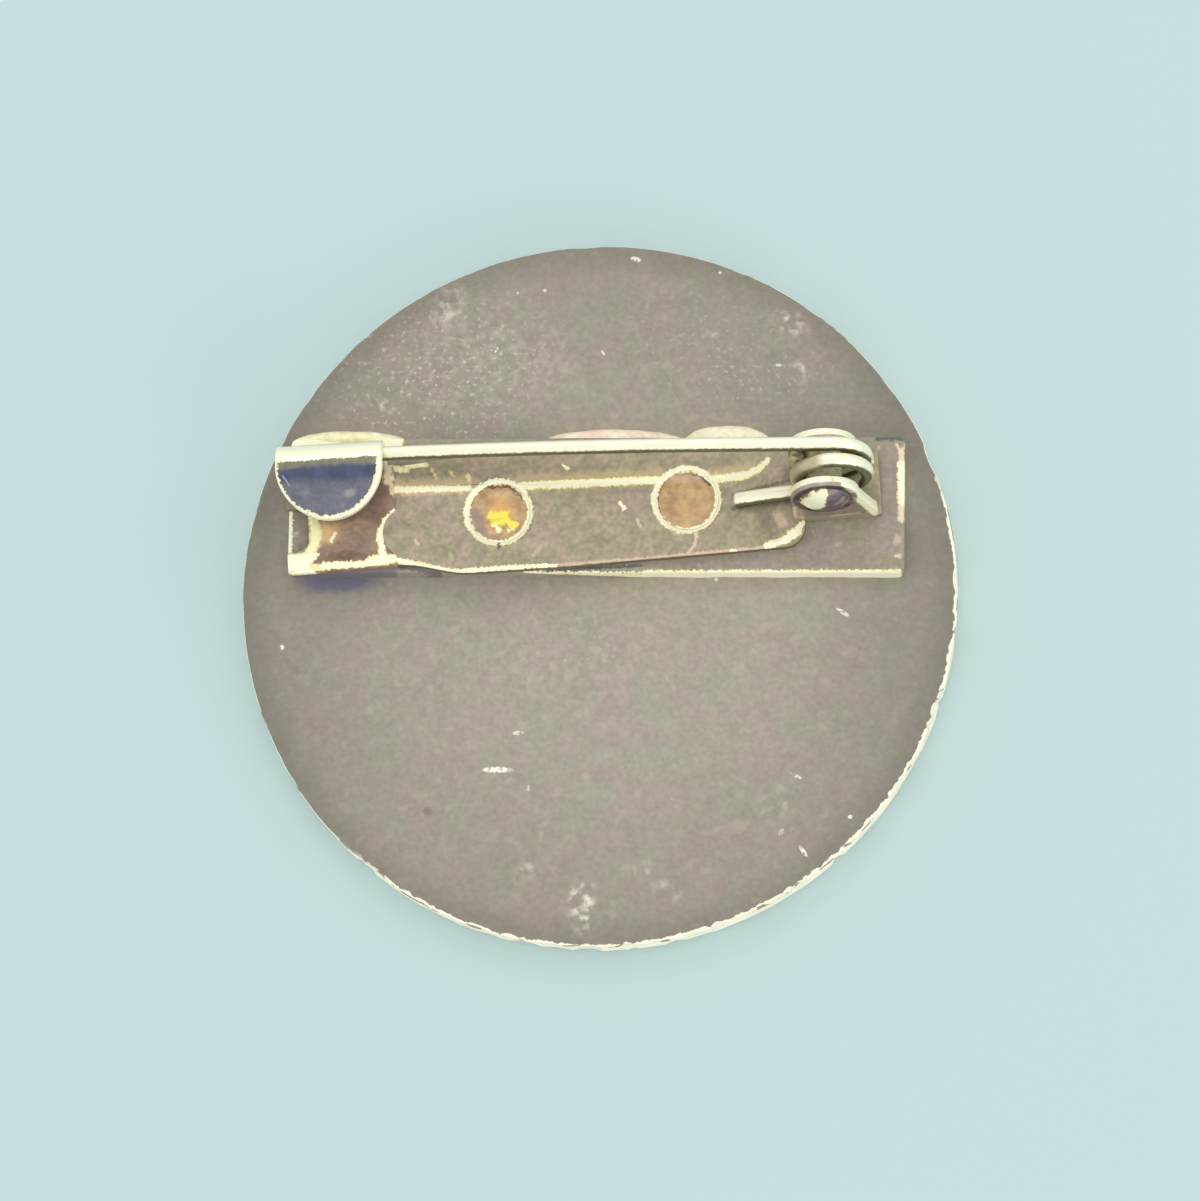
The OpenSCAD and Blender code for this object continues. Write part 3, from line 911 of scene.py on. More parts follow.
# %% Outline of the bar
SEAT_LEFT, SEAT_RIGHT, SEAT_LOW = -12.9, -8.3, -1.95
PLATE_HALF, PLATE_RIGHT, BLOCK_RIGHT = 2.5, 8.75, 11.95
BLOCK_LOW, BLOCK_HIGH = -1.15, 1.5
FLARE = 3.1
LOWER_CORNER = (7.85, -1.4, 0.9)        # u, v, radius
UPPER_CORNER = (7.15, 0.55, 1.6)


def ease(t):
    """Runs from 0 to 1 with a soft start and end."""
    return (1 - math.cos(math.pi * min(max(t, 0), 1))) / 2


def on_corner(corner, u):
    """How far a rounded corner reaches out at a place u."""
    return math.sqrt(max(0.0, corner[2] ** 2 - (u - corner[0]) ** 2))


def bar_edges(u):
    """The bar's lower and upper edge at a place u along it: the seat flares into the plate, the
    plate narrows slightly to the right and ends in two rounded corners."""
    flare = ease((u - SEAT_RIGHT) / FLARE)
    low = SEAT_LOW + (-PLATE_HALF - SEAT_LOW) * flare
    high = CURL_V + (PLATE_HALF - CURL_V) * flare
    if u > -1.0:
        low = -PLATE_HALF + 0.2 * (u + 1.0) / (LOWER_CORNER[0] + 1.0)
    if u > -5.2:
        high = PLATE_HALF - 0.35 * (u + 5.2) / (UPPER_CORNER[0] + 5.2)
    if u > LOWER_CORNER[0]:
        low = LOWER_CORNER[1] - on_corner(LOWER_CORNER, u)
    if u > UPPER_CORNER[0]:
        high = UPPER_CORNER[1] + on_corner(UPPER_CORNER, u)
    if u > 8.4:
        high = max(high, BLOCK_HIGH)
    if u > PLATE_RIGHT + 0.01:
        low, high = BLOCK_LOW, BLOCK_HIGH
    return low, high


stations = [SEAT_LEFT + 0.5, SEAT_RIGHT, -8.0, -7.6, -7.2, -6.75, -6.3, -5.9, -5.5, -5.2, -1.0,
            7.15, 7.5, 7.85, 8.1, 8.3, 8.5, 8.62, 8.71, 8.74, 8.77, BLOCK_RIGHT]
bar = new("bar_plate", bpy.ops.mesh.primitive_plane_add, size=1,
          location=(SEAT_LEFT + 0.25, (SEAT_LOW + CURL_V) / 2, PAD_TOP + SHEET / 2),
          scale=(0.5, CURL_V - SEAT_LOW, 1))
edit(bar, "EDGE")
pick(lambda e: min(v.co.x for v in e.verts) > SEAT_LEFT + 0.4, "edges")
u0, (low0, high0) = stations[0], bar_edges(stations[0])
for u in stations[1:]:
    low, high = bar_edges(u)
    push(x=u - u0)
    stretch(y=(high - low) / (high0 - low0), about=(u, (low0 + high0) / 2, PAD_TOP))
    bpy.ops.transform.translate(value=(0, (low + high - low0 - high0) / 2, 0))
    u0, low0, high0 = u, low, high
close()
modifier(bar, "SOLIDIFY", thickness=SHEET, offset=0.0)
outwards(bar)
print("bar outline:", len(stations), "stations")

# %% [markdown]
# The notch in the seat, the shallow pressed ledge and the holes are cut with closed tools. The
# ledge's tool has sloping walls, because a press leaves a soft step, and that slope lies under
# the bright line which runs along the plate. The block behind the plate lies a little lower,
# and the plate keeps its round corner above it. The holes' tool flares at the top, for the
# punched rim is rounded over. The holes come last, because joining the pieces of a flat face
# that already has a hole can lose the face.

# %% Tools for cutting, and the seat's notch


def round_tool(u, v, r, low=2.0, high=4.0):
    """An upright cylinder to cut with."""
    return new("tool", bpy.ops.mesh.primitive_cylinder_add, vertices=96, radius=r, depth=high - low,
               location=(u, v, (low + high) / 2))


def box_tool(u0, u1, v0, v1, low, high=4.0):
    """A box to cut with."""
    return new("tool", bpy.ops.mesh.primitive_cube_add, size=1, scale=(u1 - u0, v1 - v0, high - low),
               location=((u0 + u1) / 2, (v0 + v1) / 2, (low + high) / 2))


cut(bar, round_tool(-12.75, -0.2, 0.95))
print("notch cut:", len(bar.data.polygons), "faces")

# %% Pressed ledge
LEDGE_DEPTH, LEDGE_SLOPE = 0.1, 0.22
LEDGE_LEFT, LEDGE_RIGHT, LEDGE_LOW, LEDGE_HIGH = -8.2, 7.5, 1.16, 5.0
LEDGE_TURN = math.radians(1.4)
ledge = box_tool(LEDGE_LEFT + LEDGE_SLOPE, LEDGE_RIGHT - LEDGE_SLOPE, LEDGE_LOW + LEDGE_SLOPE,
                 LEDGE_HIGH, BAR_TOP - LEDGE_DEPTH, BAR_TOP + LEDGE_DEPTH)
edit(ledge, "EDGE")
round_edges(lambda e: rises(e, 0.1) and middle(e).x > 0, 1.4, 10)
round_edges(lambda e: rises(e, 0.1) and middle(e).x < 0, 0.2, 3)
pick(lambda v: v.co.z > BAR_TOP, "verts")
wide = LEDGE_RIGHT - LEDGE_LEFT - 2 * LEDGE_SLOPE
deep = LEDGE_HIGH - LEDGE_LOW - LEDGE_SLOPE
stretch(x=1 + 4 * LEDGE_SLOPE / wide, y=1 + 4 * LEDGE_SLOPE / deep,
        about=((LEDGE_LEFT + LEDGE_RIGHT) / 2, (LEDGE_HIGH + LEDGE_LOW + LEDGE_SLOPE) / 2, BAR_TOP))
whole()
bpy.ops.transform.rotate(value=LEDGE_TURN, orient_axis="Z",
                         center_override=(LEDGE_LEFT, LEDGE_LOW, BAR_TOP))
close()
cut(bar, ledge)
print("ledge pressed:", len(bar.data.polygons), "faces")

# %% Lower block and punched holes
BLOCK_STEP = 0.12
PUNCH_LIP, PUNCH_FLARE = 0.16, 1.3
corner = box_tool(7.6, PLATE_RIGHT + 0.01, UPPER_CORNER[1], 1.7, BAR_TOP - BLOCK_STEP)
cut(corner, round_tool(*UPPER_CORNER, 2.0, 5.0))
cut(bar, corner)
cut(bar, box_tool(PLATE_RIGHT, 13.0, -1.3, 1.7, BAR_TOP - BLOCK_STEP))
tidy_flats(bar)
for side in (-1, 1):
    punch = round_tool(side * HOLE_AT, 0, HOLE_R, 2.0, BAR_TOP - PUNCH_LIP)
    edit(punch)
    pick(lambda f: f.normal.z > 0.9)
    push(z=PUNCH_LIP + 0.1)
    stretch(x=PUNCH_FLARE, y=PUNCH_FLARE, about=(side * HOLE_AT, 0, 0))
    close()
    cut(bar, punch)
outwards(bar, SHORT)
dress(bar, DULL, DARK)
# The sideways walls take the dark finish, partly tarnish and partly painted shade: the dark line under the
# plate's edges.
give_slot(bar, 1, lambda normal, place: abs(normal.z) <= 0.3 and place.x < PLATE_RIGHT + 0.01)
soften(bar, 0.04, 2, 30, 0)
smooth(bar, 30)
on_bar(bar)
hand_over(bar, "base", "bar", "pin_bar")

# %% [markdown]
# The seat has a raised saddle under the flap, waisted by a hollow in each side. Its face is brown, its
# left waist carries a yellow painted highlight in a glow of painted reflected light, its lower edge is
# rolled over and carries a painted highlight, and pale painted light lies near its upper right. It is a
# cube with both hollows cut, whose edges are then rounded generously. The left hollow is a little smaller
# than the notch below it, so the saddle's rim laps over it.

# %% Saddle on the seat
SADDLE_TOP = BAR_TOP + 0.12
WAIST_HIGHLIGHT = [(-11.8, 0.5, -11.68, -0.3, 0.32, 1.0), (-11.68, -0.3, -11.76, -0.85, 0.36, 1.0),
                (-11.76, -0.85, -12.1, -1.4, 0.34, 1.0)]
WAIST_REFLECTED_GLOW = [(-11.2, -0.35, 0.95, 0.85, 0, 0.9), (-10.3, -0.1, 1.4, 0.3, 0, 0.35)]
SADDLE_LIT_PATCH = [(-8.55, 2.35, -8.5, 1.75, 0.32, 1.0), (-8.45, 1.6, -8.35, 1.1, 0.2, 0.8)]
SADDLE_HIGHLIGHT = [(-12.75, -1.4, -12.0, -1.45, 0.34, 1.0), (-12.75, -1.8, -12.2, -1.85, 0.3, 1.0),
                (-12.2, -1.85, -11.85, -2.05, 0.13, 0.9), (-12.1, -1.65, -11.7, -1.3, 0.16, 0.8),
                (-12.0, -1.85, -11.4, -1.85, 0.2, 0.5), (-11.4, -1.79, -9.4, -1.83, 0.19, 1.0),
                (-9.4, -1.75, -8.5, -1.7, 0.28, 1.0), (-8.38, 0.35, -8.75, -0.05, 0.12, 0.8),
                (-8.75, -0.05, -8.98, -0.6, 0.16, 1.0), (-8.98, -0.6, -8.93, -1.4, 0.2, 1.0),
                (-11.02, -0.74, -10.86, -0.45, 0.1, 0.6)]
SADDLE_SHADE = [(-10.4, -1.47, 1.5, 0.32, 0, 0.75), (-9.1, 0.05, 0.6, 0.6, 0, 0.35),
                (-11.9, -2.0, 0.4, 0.14, 0, 0.6)]


def brown_saddle():
    """Brown, with painted shade, a painted glow and yellow painted highlights at the left waist, pale
    painted light at the upper right, and painted highlights along the rolled edges.
    """
    made, tree, shader, at = new_finish("brown_saddle", 0.45, 0.25)
    at = bar_place(tree, at)
    colour = two_tone(tree, at, 0.7, tone(158, 136, 116), tone(143, 118, 109), 3.0)
    colour = mottle(tree, colour, at, 0.2, 0.85, 1.15, 3.0)
    ragged = torn(tree, at)
    blurred = torn(tree, at, 0.3, 0.3)
    # Painted shade along the rolled lower edge and beside the right hollow.
    colour = mix(tree, marks(tree, blurred, SADDLE_SHADE, 0.1), colour, tone(104, 88, 62))
    # A painted glow of reflected light round the left waist, pale painted light at the upper right, and
    # the yellow painted highlight on the left waist.
    colour = mix(tree, marks(tree, blurred, WAIST_REFLECTED_GLOW, 0.0), colour, tone(246, 204, 150))
    colour = paint(tree, blurred, colour, (SADDLE_LIT_PATCH, tone(255, 240, 200)))
    colour = paint(tree, ragged, colour, (WAIST_HIGHLIGHT, tone(255, 253, 196)))
    # Painted highlights along the rolled edges and the right waist, and a small painted glint.
    colour_to(tree, shader, painted_highlight(tree, shader, at, strokes(tree, ragged, SADDLE_HIGHLIGHT), colour))
    bumps(tree, shader, cloud(tree, at, 0.3), 0.4, 0.04)
    return made


saddle = box_tool(SEAT_LEFT, SEAT_RIGHT, SEAT_LOW - 0.08, CURL_V, SADDLE_TOP - 0.45, SADDLE_TOP)
saddle.name = saddle.data.name = "seat_saddle"
waist = box_tool(-14.0, -12.02, -1.12, 0.9, 2.0)
edit(waist, "EDGE")
round_edges(lambda e: rises(e, 1.0) and middle(e).x > -13.0, 0.5, 10)
close()
cut(saddle, waist)
cut(saddle, round_tool(-7.78, -0.58, 1.08))
outwards(saddle)
dress(saddle, brown_saddle())


def round_saddle(test, width):
    """Rounds the upper edges that pass test."""
    edit(saddle, "EDGE")
    round_edges(lambda e: all(v.co.z > SADDLE_TOP - 0.001 for v in e.verts) and test(middle(e)), width, 4)
    close()


round_saddle(lambda m: m.x < -11.9 and -1.2 < m.y < 1.0 and m.x > SEAT_LEFT + 0.01, 0.24)   # left waist
round_saddle(lambda m: m.x > -8.95 and SEAT_LOW < m.y < 0.38, 0.2)                          # right waist
round_saddle(lambda m: m.y < SEAT_LOW, 0.38)                                                # lower edge
outwards(saddle)
smooth(saddle)
on_bar(saddle)
hand_over(saddle, "base", "bar")

# %% [markdown]
# ## The catch
# The sheet curls up from the seat's upper edge through half a turn and runs on as a round flap that bends
# gently down. The spin tool does just this: an edge is swept round the curl's middle, and once more round
# a far middle for the flap. A round tool trims the flap's end, the curl is flattened a little, the rim is
# rounded, and long flat faces are sliced so that they shade evenly. The flap's face is polished, and
# painted with reflections: olive under the curl, then navy, then slate. A painted highlight lies on the
# curl's crest and on the rim, which is all that lies outside a circle that sits a little to the left, so
# that the rim is widest on the right.

# %% Curl and flap
FLAP_BEND, FLAP_LONG = 6.0, 2.75
CURL_FLAT = 0.84
CATCH_STEP = 0.45
FLAP_FACE = (CATCH_U - 0.07, 2.13, 0.0)
FLAP_FACE_R = 2.06
FLAP_GLINTS = [(-10.0, 0.88, 0.42, 0.26, 20, 0.35), (-11.9, 1.0, 0.3, 0.2, 0, 0.12)]
FLAP_SCRATCH = [(-12.76, 1.77, -12.5, 1.35, 0.045, 0.7)]


def flap_metal():
    """Polished sheet with painted reflections in three tones, a scratch, two painted glints and the
    painted highlight on the rim and crest.
    """
    made, tree, shader, at = new_finish("flap_metal", 0.3, 1.0)
    at = bar_place(tree, at)
    # Painted reflections: slate towards the flap's tip, navy higher up, and olive under the curl.
    v = add(tree, "SeparateXYZ", {0: at}).outputs["Y"]
    wavering = plus_noise(tree, v, at, 0.9, 0.4, 3.0)
    colour = mix(tree, level(tree, wavering, 1.35, 1.9), tone(125, 129, 141), tone(90, 97, 122))
    colour = mix(tree, level(tree, wavering, 2.12, 2.38), colour, tone(140, 138, 124))
    colour = mottle(tree, colour, at, 0.7, 0.88, 1.14, 3.0)
    colour = mottle(tree, colour, at, 0.18, 0.9, 1.1, 3.0)
    ragged = torn(tree, at)
    colour = paint(tree, torn(tree, at, 0.3, 0.04), colour, (FLAP_SCRATCH, tone(190, 190, 196)))
    # Two painted glints on the flap.
    colour = mix(tree, marks(tree, at, FLAP_GLINTS, 0.2), colour, tone(222, 216, 214))
    # Painted highlight on the rim, widest on the right, and along the curl's crest.
    out = add(tree, "VectorMath", {0: ragged, 1: FLAP_FACE}, operation="DISTANCE").outputs["Value"]
    crest = add(tree, "SeparateXYZ", {0: ragged}).outputs["Y"]
    rim = level(tree, out, FLAP_FACE_R - 0.03, FLAP_FACE_R + 0.08)
    rim = calc(tree, "MAXIMUM", rim, level(tree, crest, 2.33, 2.42))
    colour_to(tree, shader, painted_highlight(tree, shader, at, rim, colour))
    bumps(tree, shader, cloud(tree, at, 0.3), 0.15, 0.02)
    return made


flap_top = CURL_Z + CURL_OUT
catch = new("catch_flap", bpy.ops.mesh.primitive_plane_add, size=1,
            location=(CATCH_U, CURL_V - 0.2, PAD_TOP + CURL_T / 2), scale=(2 * CATCH_HALF, 0.4, 1))
edit(catch, "EDGE")
pick(lambda e: min(v.co.y for v in e.verts) > CURL_V - 0.01, "edges")
bpy.ops.mesh.spin(steps=28, angle=math.pi, center=(CATCH_U, CURL_V, CURL_Z), axis=(-1, 0, 0))
bpy.ops.mesh.spin(steps=14, angle=FLAP_LONG / FLAP_BEND,
                  center=(CATCH_U, CURL_V, flap_top - FLAP_BEND), axis=(-1, 0, 0))
close()
outwards(catch)
modifier(catch, "SOLIDIFY", thickness=CURL_T, offset=0.0, use_even_offset=True)
trim = round_tool(CATCH_U, 2.15, CATCH_HALF, 2.2, 6.0)
edit(trim)
pick(lambda f: f.normal.y > 0.05 and abs(f.normal.z) < 0.1)
push(y=3.0)
stretch(y=0.0, about=(CATCH_U, 5.2, 4.0))
close()
outwards(trim)
cut(catch, trim, "INTERSECT")
outwards(catch, SHORT)
dress(catch, flap_metal())
edit(catch, "VERT")
pick(lambda v: v.co.y > CURL_V, "verts")
stretch(y=CURL_FLAT, about=(0, CURL_V, 0))
close()
outwards(catch)
soften(catch, 0.09, 3, 50)
edit(catch)
for step in range(-4, 5):
    slice_at((CATCH_U + CATCH_STEP * step, 0, 0), (1, 0, 0))
close()
smooth(catch)
on_bar(catch)
hand_over(catch, "base", "bar")

# %% [markdown]
# ## The hinge ears
# Two ears stand up from the block and hold the rivet. One is modelled and the other is a copy.
# It starts as a short cylinder lying on its side; its lower half is extruded down and flattened, the right
# foot is pulled out, and the rivet's hole is cut. Both lean a little, as a bent-up tab that sprang back
# does. Their faces are purple with tarnish, with a painted reflection at the foot and pinkish painted
# highlights, and their rims carry a painted highlight along the back edge: the rim is bisected and only
# its back part gets the highlight finish. A painted highlight stroke widens that line down the right side
# of the face. Patterns on a face read the place along the bar and the height.

# %% Ears
EAR_R, EAR_GAP, EAR_ROOT = 1.42, 1.68, 2.3
EAR_FOOT, EAR_FOOT_AT = 2.1, -1.72
RIVET_R = 0.75
RIM_SPLIT = -0.07
EAR_FOOT_LIGHT = [(8.2, 3.0, 9.6, 2.9, 0.6, 0.8), (9.6, 2.9, 11.8, 2.9, 0.5, 0.7)]
EAR_PINK_HIGHLIGHT = [(9.9, 3.2, 11.0, 3.3, 0.13, 0.8), (8.35, 4.3, 8.3, 2.9, 0.12, 0.8)]
EAR_HIGHLIGHT_STROKE = [(10.4, 6.31, 10.69, 6.05, 0.15, 1.0), (10.69, 5.97, 11.02, 5.45, 0.28, 1.0),
             (11.02, 5.45, 11.1, 4.75, 0.36, 1.0), (11.1, 4.75, 11.72, 3.15, 0.3, 1.0)]


def upright(tree, at):
    """The place seen from the bar's lower side: along the bar, and the height."""
    place = add(tree, "SeparateXYZ", {0: bar_place(tree, at)})
    return add(tree, "CombineXYZ", {0: place.outputs["X"], 1: place.outputs["Z"]}).outputs[0]


def ear_metal():
    """Purple tarnish, with a painted reflection at the foot, pinkish painted highlights and a painted
    highlight line on the right.
    """
    made, tree, shader, at = new_finish("ear_metal", 0.45, 0.85)
    colour = two_tone(tree, at, 0.5, tone(172, 158, 146), tone(186, 170, 174), 3.0)
    colour = mottle(tree, colour, at, 0.2, 0.85, 1.15, 3.0)
    ragged = torn(tree, upright(tree, at))
    # Painted reflection at the foot, then pinkish painted highlights at the foot's bend and on the left
    # leg.
    colour = paint(tree, ragged, colour, (EAR_FOOT_LIGHT, tone(204, 192, 174)), (EAR_PINK_HIGHLIGHT, tone(244, 216, 196)))
    # Painted highlight stroke that widens the rim's line down the right side.
    colour_to(tree, shader, painted_highlight(tree, shader, at, strokes(tree, ragged, EAR_HIGHLIGHT_STROKE), colour))
    bumps(tree, shader, cloud(tree, at, 0.2), 0.3, 0.02)
    return made


ear = new("ear_lower", bpy.ops.mesh.primitive_cylinder_add, vertices=72, radius=EAR_R, depth=SHEET,
          rotation=(math.pi / 2, 0, 0))
edit(ear)
pick(lambda f: f.normal.z < -0.04 and abs(f.normal.y) < 0.1)
push(z=-EAR_ROOT)
stretch(z=0.0, about=(0, 0, -EAR_ROOT))
slice_at((0, 0, EAR_FOOT_AT), (0, 0, 1))
pick(lambda v: v.co.z < EAR_FOOT_AT + 0.01 and v.co.x > EAR_R - 0.02, "verts")
bpy.ops.transform.translate(value=(EAR_FOOT - EAR_R, 0, 0))
close()
outwards(ear)
bore = new("tool", bpy.ops.mesh.primitive_cylinder_add, vertices=64, radius=RIVET_R + 0.01, depth=2,
           rotation=(math.pi / 2, 0, 0))
cut(ear, bore)
edit(ear)
slice_at((0, RIM_SPLIT, 0), (0, 1, 0))
close()
dress(ear, ear_metal(), EAR_RIM_HIGHLIGHT)
# The back part of the rim takes the painted highlight finish, and the front part keeps the face's finish.
give_slot(ear, 1, lambda normal, place: abs(normal.y) < 0.5 and place.length > 1.0
          and place.y > RIM_SPLIT)
ears = [ear, copy_of(ear, "ear_upper")]
for obj, side in zip(ears, (-1, 1)):
    obj.location = (0, side * (EAR_GAP + SHEET) / 2, 0)
    apply_place(obj)
    to_hinge(obj)
    edit(obj)
    slice_at((0, 0, PAD_TOP + 0.2), (0, 0, 1), use_fill=True, clear_inner=True)
    close()
    outwards(obj)
    soften(obj, 0.06, 3, 40)
    smooth(obj)
    on_bar(obj)
    hand_over(obj, "base", "bar")

# %% [markdown]
# ## The rivet
# A rivet is a pin with a head at each end, the second one hammered. It starts as a thin cylinder. Each end
# face is widened by an extrude that goes nowhere, pushed out a little and then drawn in step by step, so
# that the head is a low dome. The head is purple with tarnish, with a painted highlight, a bright torn
# patch, on its left and a thin pinkish crescent of painted highlight, and the shaft between the ears is
# dull and greenish.

# %% Rivet
FACE_W = EAR_GAP / 2 + SHEET
RIVET_HIGHLIGHT = [(8.95, 4.85, 9.35, 5.3, 0.42, 1.0), (8.9, 5.1, 9.3, 5.7, 0.3, 1.0),
               (9.35, 5.3, 9.6, 5.8, 0.3, 1.0), (9.05, 4.45, 9.45, 4.35, 0.2, 0.9)]
RIVET_PINK_HIGHLIGHT = [(10.25, 4.4, 10.6, 5.0, 0.13, 0.9), (9.5, 4.1, 10.1, 4.15, 0.13, 0.8),
              (10.1, 5.2, 10.4, 5.3, 0.14, 0.6)]


def rivet_metal():
    """Purple tarnish with painted highlights: the bright torn patch and the crescent."""
    made, tree, shader, at = new_finish("rivet_metal", 0.35, 0.9)
    ragged = torn(tree, upright(tree, at), 0.25, 0.2)
    colour = mottle(tree, tone(140, 126, 130), at, 0.25, 0.75, 1.2, 3.0)
    # Pinkish painted highlight for the crescent, then the bright torn patch painted as a highlight below.
    colour = paint(tree, ragged, colour, (RIVET_PINK_HIGHLIGHT, tone(214, 196, 192)))
    colour_to(tree, shader, painted_highlight(tree, shader, at, strokes(tree, ragged, RIVET_HIGHLIGHT), colour))
    bumps(tree, shader, cloud(tree, at, 0.3, 3.0), 0.5, 0.05)
    return made


def shaft_metal():
    """The dull greenish shaft between the ears."""
    made, tree, shader, at = new_finish("shaft_metal", 0.5, 0.3)
    colour_to(tree, shader, mottle(tree, tone(230, 234, 190), at, 0.25, 0.75, 1.15, 3.0))
    bumps(tree, shader, cloud(tree, at, 0.2, 3.0), 0.3, 0.03)
    return made


rivet = new("rivet_pin", bpy.ops.mesh.primitive_cylinder_add, vertices=48, radius=RIVET_R,
            depth=2 * FACE_W, rotation=(math.pi / 2, 0, 0))


def dome(side, radius, height):
    """Raises a low dome on the rivet's end at side -1 or 1."""
    edit(rivet)
    pick(lambda f: f.normal.y * side > 0.9)
    push()
    stretch(x=radius / RIVET_R, z=radius / RIVET_R)
    ball = (radius ** 2 + height ** 2) / (2 * height)
    before, out = radius, 0.0
    for share in (0.97, 0.9, 0.78, 0.62, 0.42, 0.2):
        now = radius * share
        rise = math.sqrt(ball ** 2 - now ** 2) - (ball - height)
        push(y=side * (rise - out))
        stretch(x=now / before, z=now / before)
        before, out = now, rise
    close()
    print("head with radius", radius, "is", round(out, 3), "high")


dome(-1, 1.05, 0.4)
dome(1, 0.95, 0.25)
outwards(rivet)
dress(rivet, rivet_metal(), shaft_metal())
give_slot(rivet, 1, lambda normal, place: math.hypot(place.x, place.z) > RIVET_R - 0.02
          and abs(normal.y) < 0.1)
smooth(rivet, 50)
to_hinge(rivet)
on_bar(rivet)
hand_over(rivet, "base", "rivet", "rivet")

# %% [markdown]
# ## The spring wire
# The pin is one wire: a straight pin, two turns round the rivet and a tail that rests on the
# bar. It is three pieces here, because the straight pin and its turn move and the tail's turn
# stays. The turns are swept with spin from a small filled circle.

# %% Two turns of wire
COIL_OFF = (0.33, 0.12)                     # it hangs a little off the rivet's middle
COIL_R, COIL_W, TAIL_W = 1.44, 0.47, -0.25
COIL_START, TAIL_START, ARC = -200, -88, 290


def on_turn(w, degrees):
    """A place on the middle of the wire, in the turn that lies at w along the rivet."""
    a = math.radians(degrees)
    return Vector((COIL_R * math.cos(a), w, COIL_R * math.sin(a)))


def wire_circle(name, at, normal):
    """A filled circle of the wire's size, facing along normal."""
    return new(name, bpy.ops.mesh.primitive_circle_add, vertices=24, radius=WIRE_R, fill_type="NGON",
               location=at, rotation=Vector(normal).to_track_quat("Z", "Y").to_euler())


def turn_of_wire(name, w, start):
    """A turn in the plane of the ears, counted from +x towards up, with w along the rivet."""
    a = math.radians(start)
    obj = wire_circle(name, on_turn(w, start), (-math.sin(a), 0, math.cos(a)))
    edit(obj)
    whole()
    bpy.ops.mesh.spin(steps=96, angle=math.radians(ARC), center=(0, w, 0), axis=(0, 1, 0))
    close()
    return outwards(obj)


def round_cap(obj, end):
    """Insets and raises the flat cap near a point, so that the cut wire has a rounded end."""
    edit(obj)
    pick(lambda f: len(f.verts) > 8 and (middle(f) - end).length < 0.12)
    out = [f for f in bmesh.from_edit_mesh(obj.data).faces if f.select][0].normal.copy()
    for inset, rise in ((0.04, 0.06), (0.07, 0.04), (0.09, 0.02)):
        bpy.ops.mesh.inset(thickness=inset)
        bpy.ops.transform.translate(value=tuple(out * rise))
    close()


COIL_METAL = wire_metal("coil_metal", (HINGE.x - 0.35, 3.9))
coil = turn_of_wire("coil_wire", COIL_W, COIL_START)
round_cap(coil, on_turn(COIL_W, COIL_START))
dress(coil, COIL_METAL)
smooth(coil, 60, False)
to_hinge(coil, *COIL_OFF)
on_bar(coil)
hand_over(coil, "coil", "wire", "pin_coil")

# %% [markdown]
# The tail leaves its turn at the bottom. Its end face is extruded in short steps, and each
# step goes a little further sideways, so that the tail bends off towards the lower left.

# %% Tail of the spring
TAIL_STEP = 0.51
tail = turn_of_wire("tail_wire", TAIL_W, TAIL_START)
tail_root = on_turn(TAIL_W, TAIL_START)
a = math.radians(TAIL_START)
along = Vector((math.sin(a), 0, -math.cos(a)))
tail_end = tail_root.copy()
edit(tail)
pick(lambda f: len(f.verts) > 8 and (middle(f) - tail_root).length < 0.1)
for sideways in (0.0, -0.005, -0.01, -0.02, -0.03, -0.035, -0.04, -0.04):
    step = along * TAIL_STEP + Vector((0, sideways, 0))
    push(*step)
    tail_end += step
close()
round_cap(tail, on_turn(TAIL_W, TAIL_START + ARC))
round_cap(tail, tail_end)
outwards(tail)
dress(tail, COIL_METAL)
smooth(tail, 60, False)
to_hinge(tail, *COIL_OFF)
on_bar(tail)
hand_over(tail, "base", "wire", "spring_tail")

# %% [markdown]
# The straight pin starts as a ball inside the end of its turn, so that the joint stays closed
# when the pin is pushed sideways. It leaves the coil, runs over the bar with a slight bow, for
# it is sprung, and ends under the flap in a ground point.

# %% Straight pin with its point
lean_c, lean_s = math.cos(HINGE_LEAN), math.sin(HINGE_LEAN)
root_n = COIL_OFF[1] + COIL_R
ARM_ROOT = HINGE + Vector((COIL_OFF[0], COIL_W * lean_c + root_n * lean_s,
                           root_n * lean_c - COIL_W * lean_s))
ARM_LENGTH = ARM_ROOT.x + 8.1
ARM_END = ARM_ROOT + Vector((-ARM_LENGTH, 0.0802 * ARM_LENGTH, -0.1273 * ARM_LENGTH))
ARM_PARTS, BOW = 30, 0.09
POINT_TIP = Vector((-13.0, CURL_V + 0.4, CURL_Z - 0.08))
POINT_SHAPE = [(0.12, 1), (0.25, 1), (0.385, 1), (0.47, 0.95), (0.58, 0.82), (0.7, 0.63),
               (0.82, 0.42), (0.92, 0.22), (0.985, 0.08)]     # along the point, and how thick there

rows = []
for k in range(ARM_PARTS + 1):
    p = ARM_ROOT.lerp(ARM_END, k / ARM_PARTS)
    p.y += BOW * math.sin(math.pi * k / ARM_PARTS)
    rows.append((p, WIRE_R))
for t, share in POINT_SHAPE:
    rows.append((ARM_END.lerp(POINT_TIP, t), WIRE_R * share))

arm = wire_circle("pin_wire", ARM_ROOT, (-1, 0, 0))
edit(arm)
whole()
for (p0, r0), (p1, r1) in zip(rows, rows[1:]):
    push(*(p1 - p0))
    stretch(y=r1 / r0, z=r1 / r0, about=tuple(p1))
bpy.ops.mesh.merge(type="CENTER")
pick(lambda f: len(f.verts) > 8 and middle(f).x > ARM_ROOT.x - 0.01)
before = 0.0
for degrees in (18, 36, 54, 72, 84):
    now = math.radians(degrees)
    push(x=WIRE_R * (math.sin(now) - math.sin(before)))
    share = math.cos(now) / math.cos(before)
    stretch(y=share, z=share, about=tuple(ARM_ROOT))
    before = now
close()
outwards(arm)
dress(arm, WIRE)
smooth(arm, 60, False)
on_bar(arm)
hand_over(arm, "arm", "wire", "pin_arm", "pin_point")

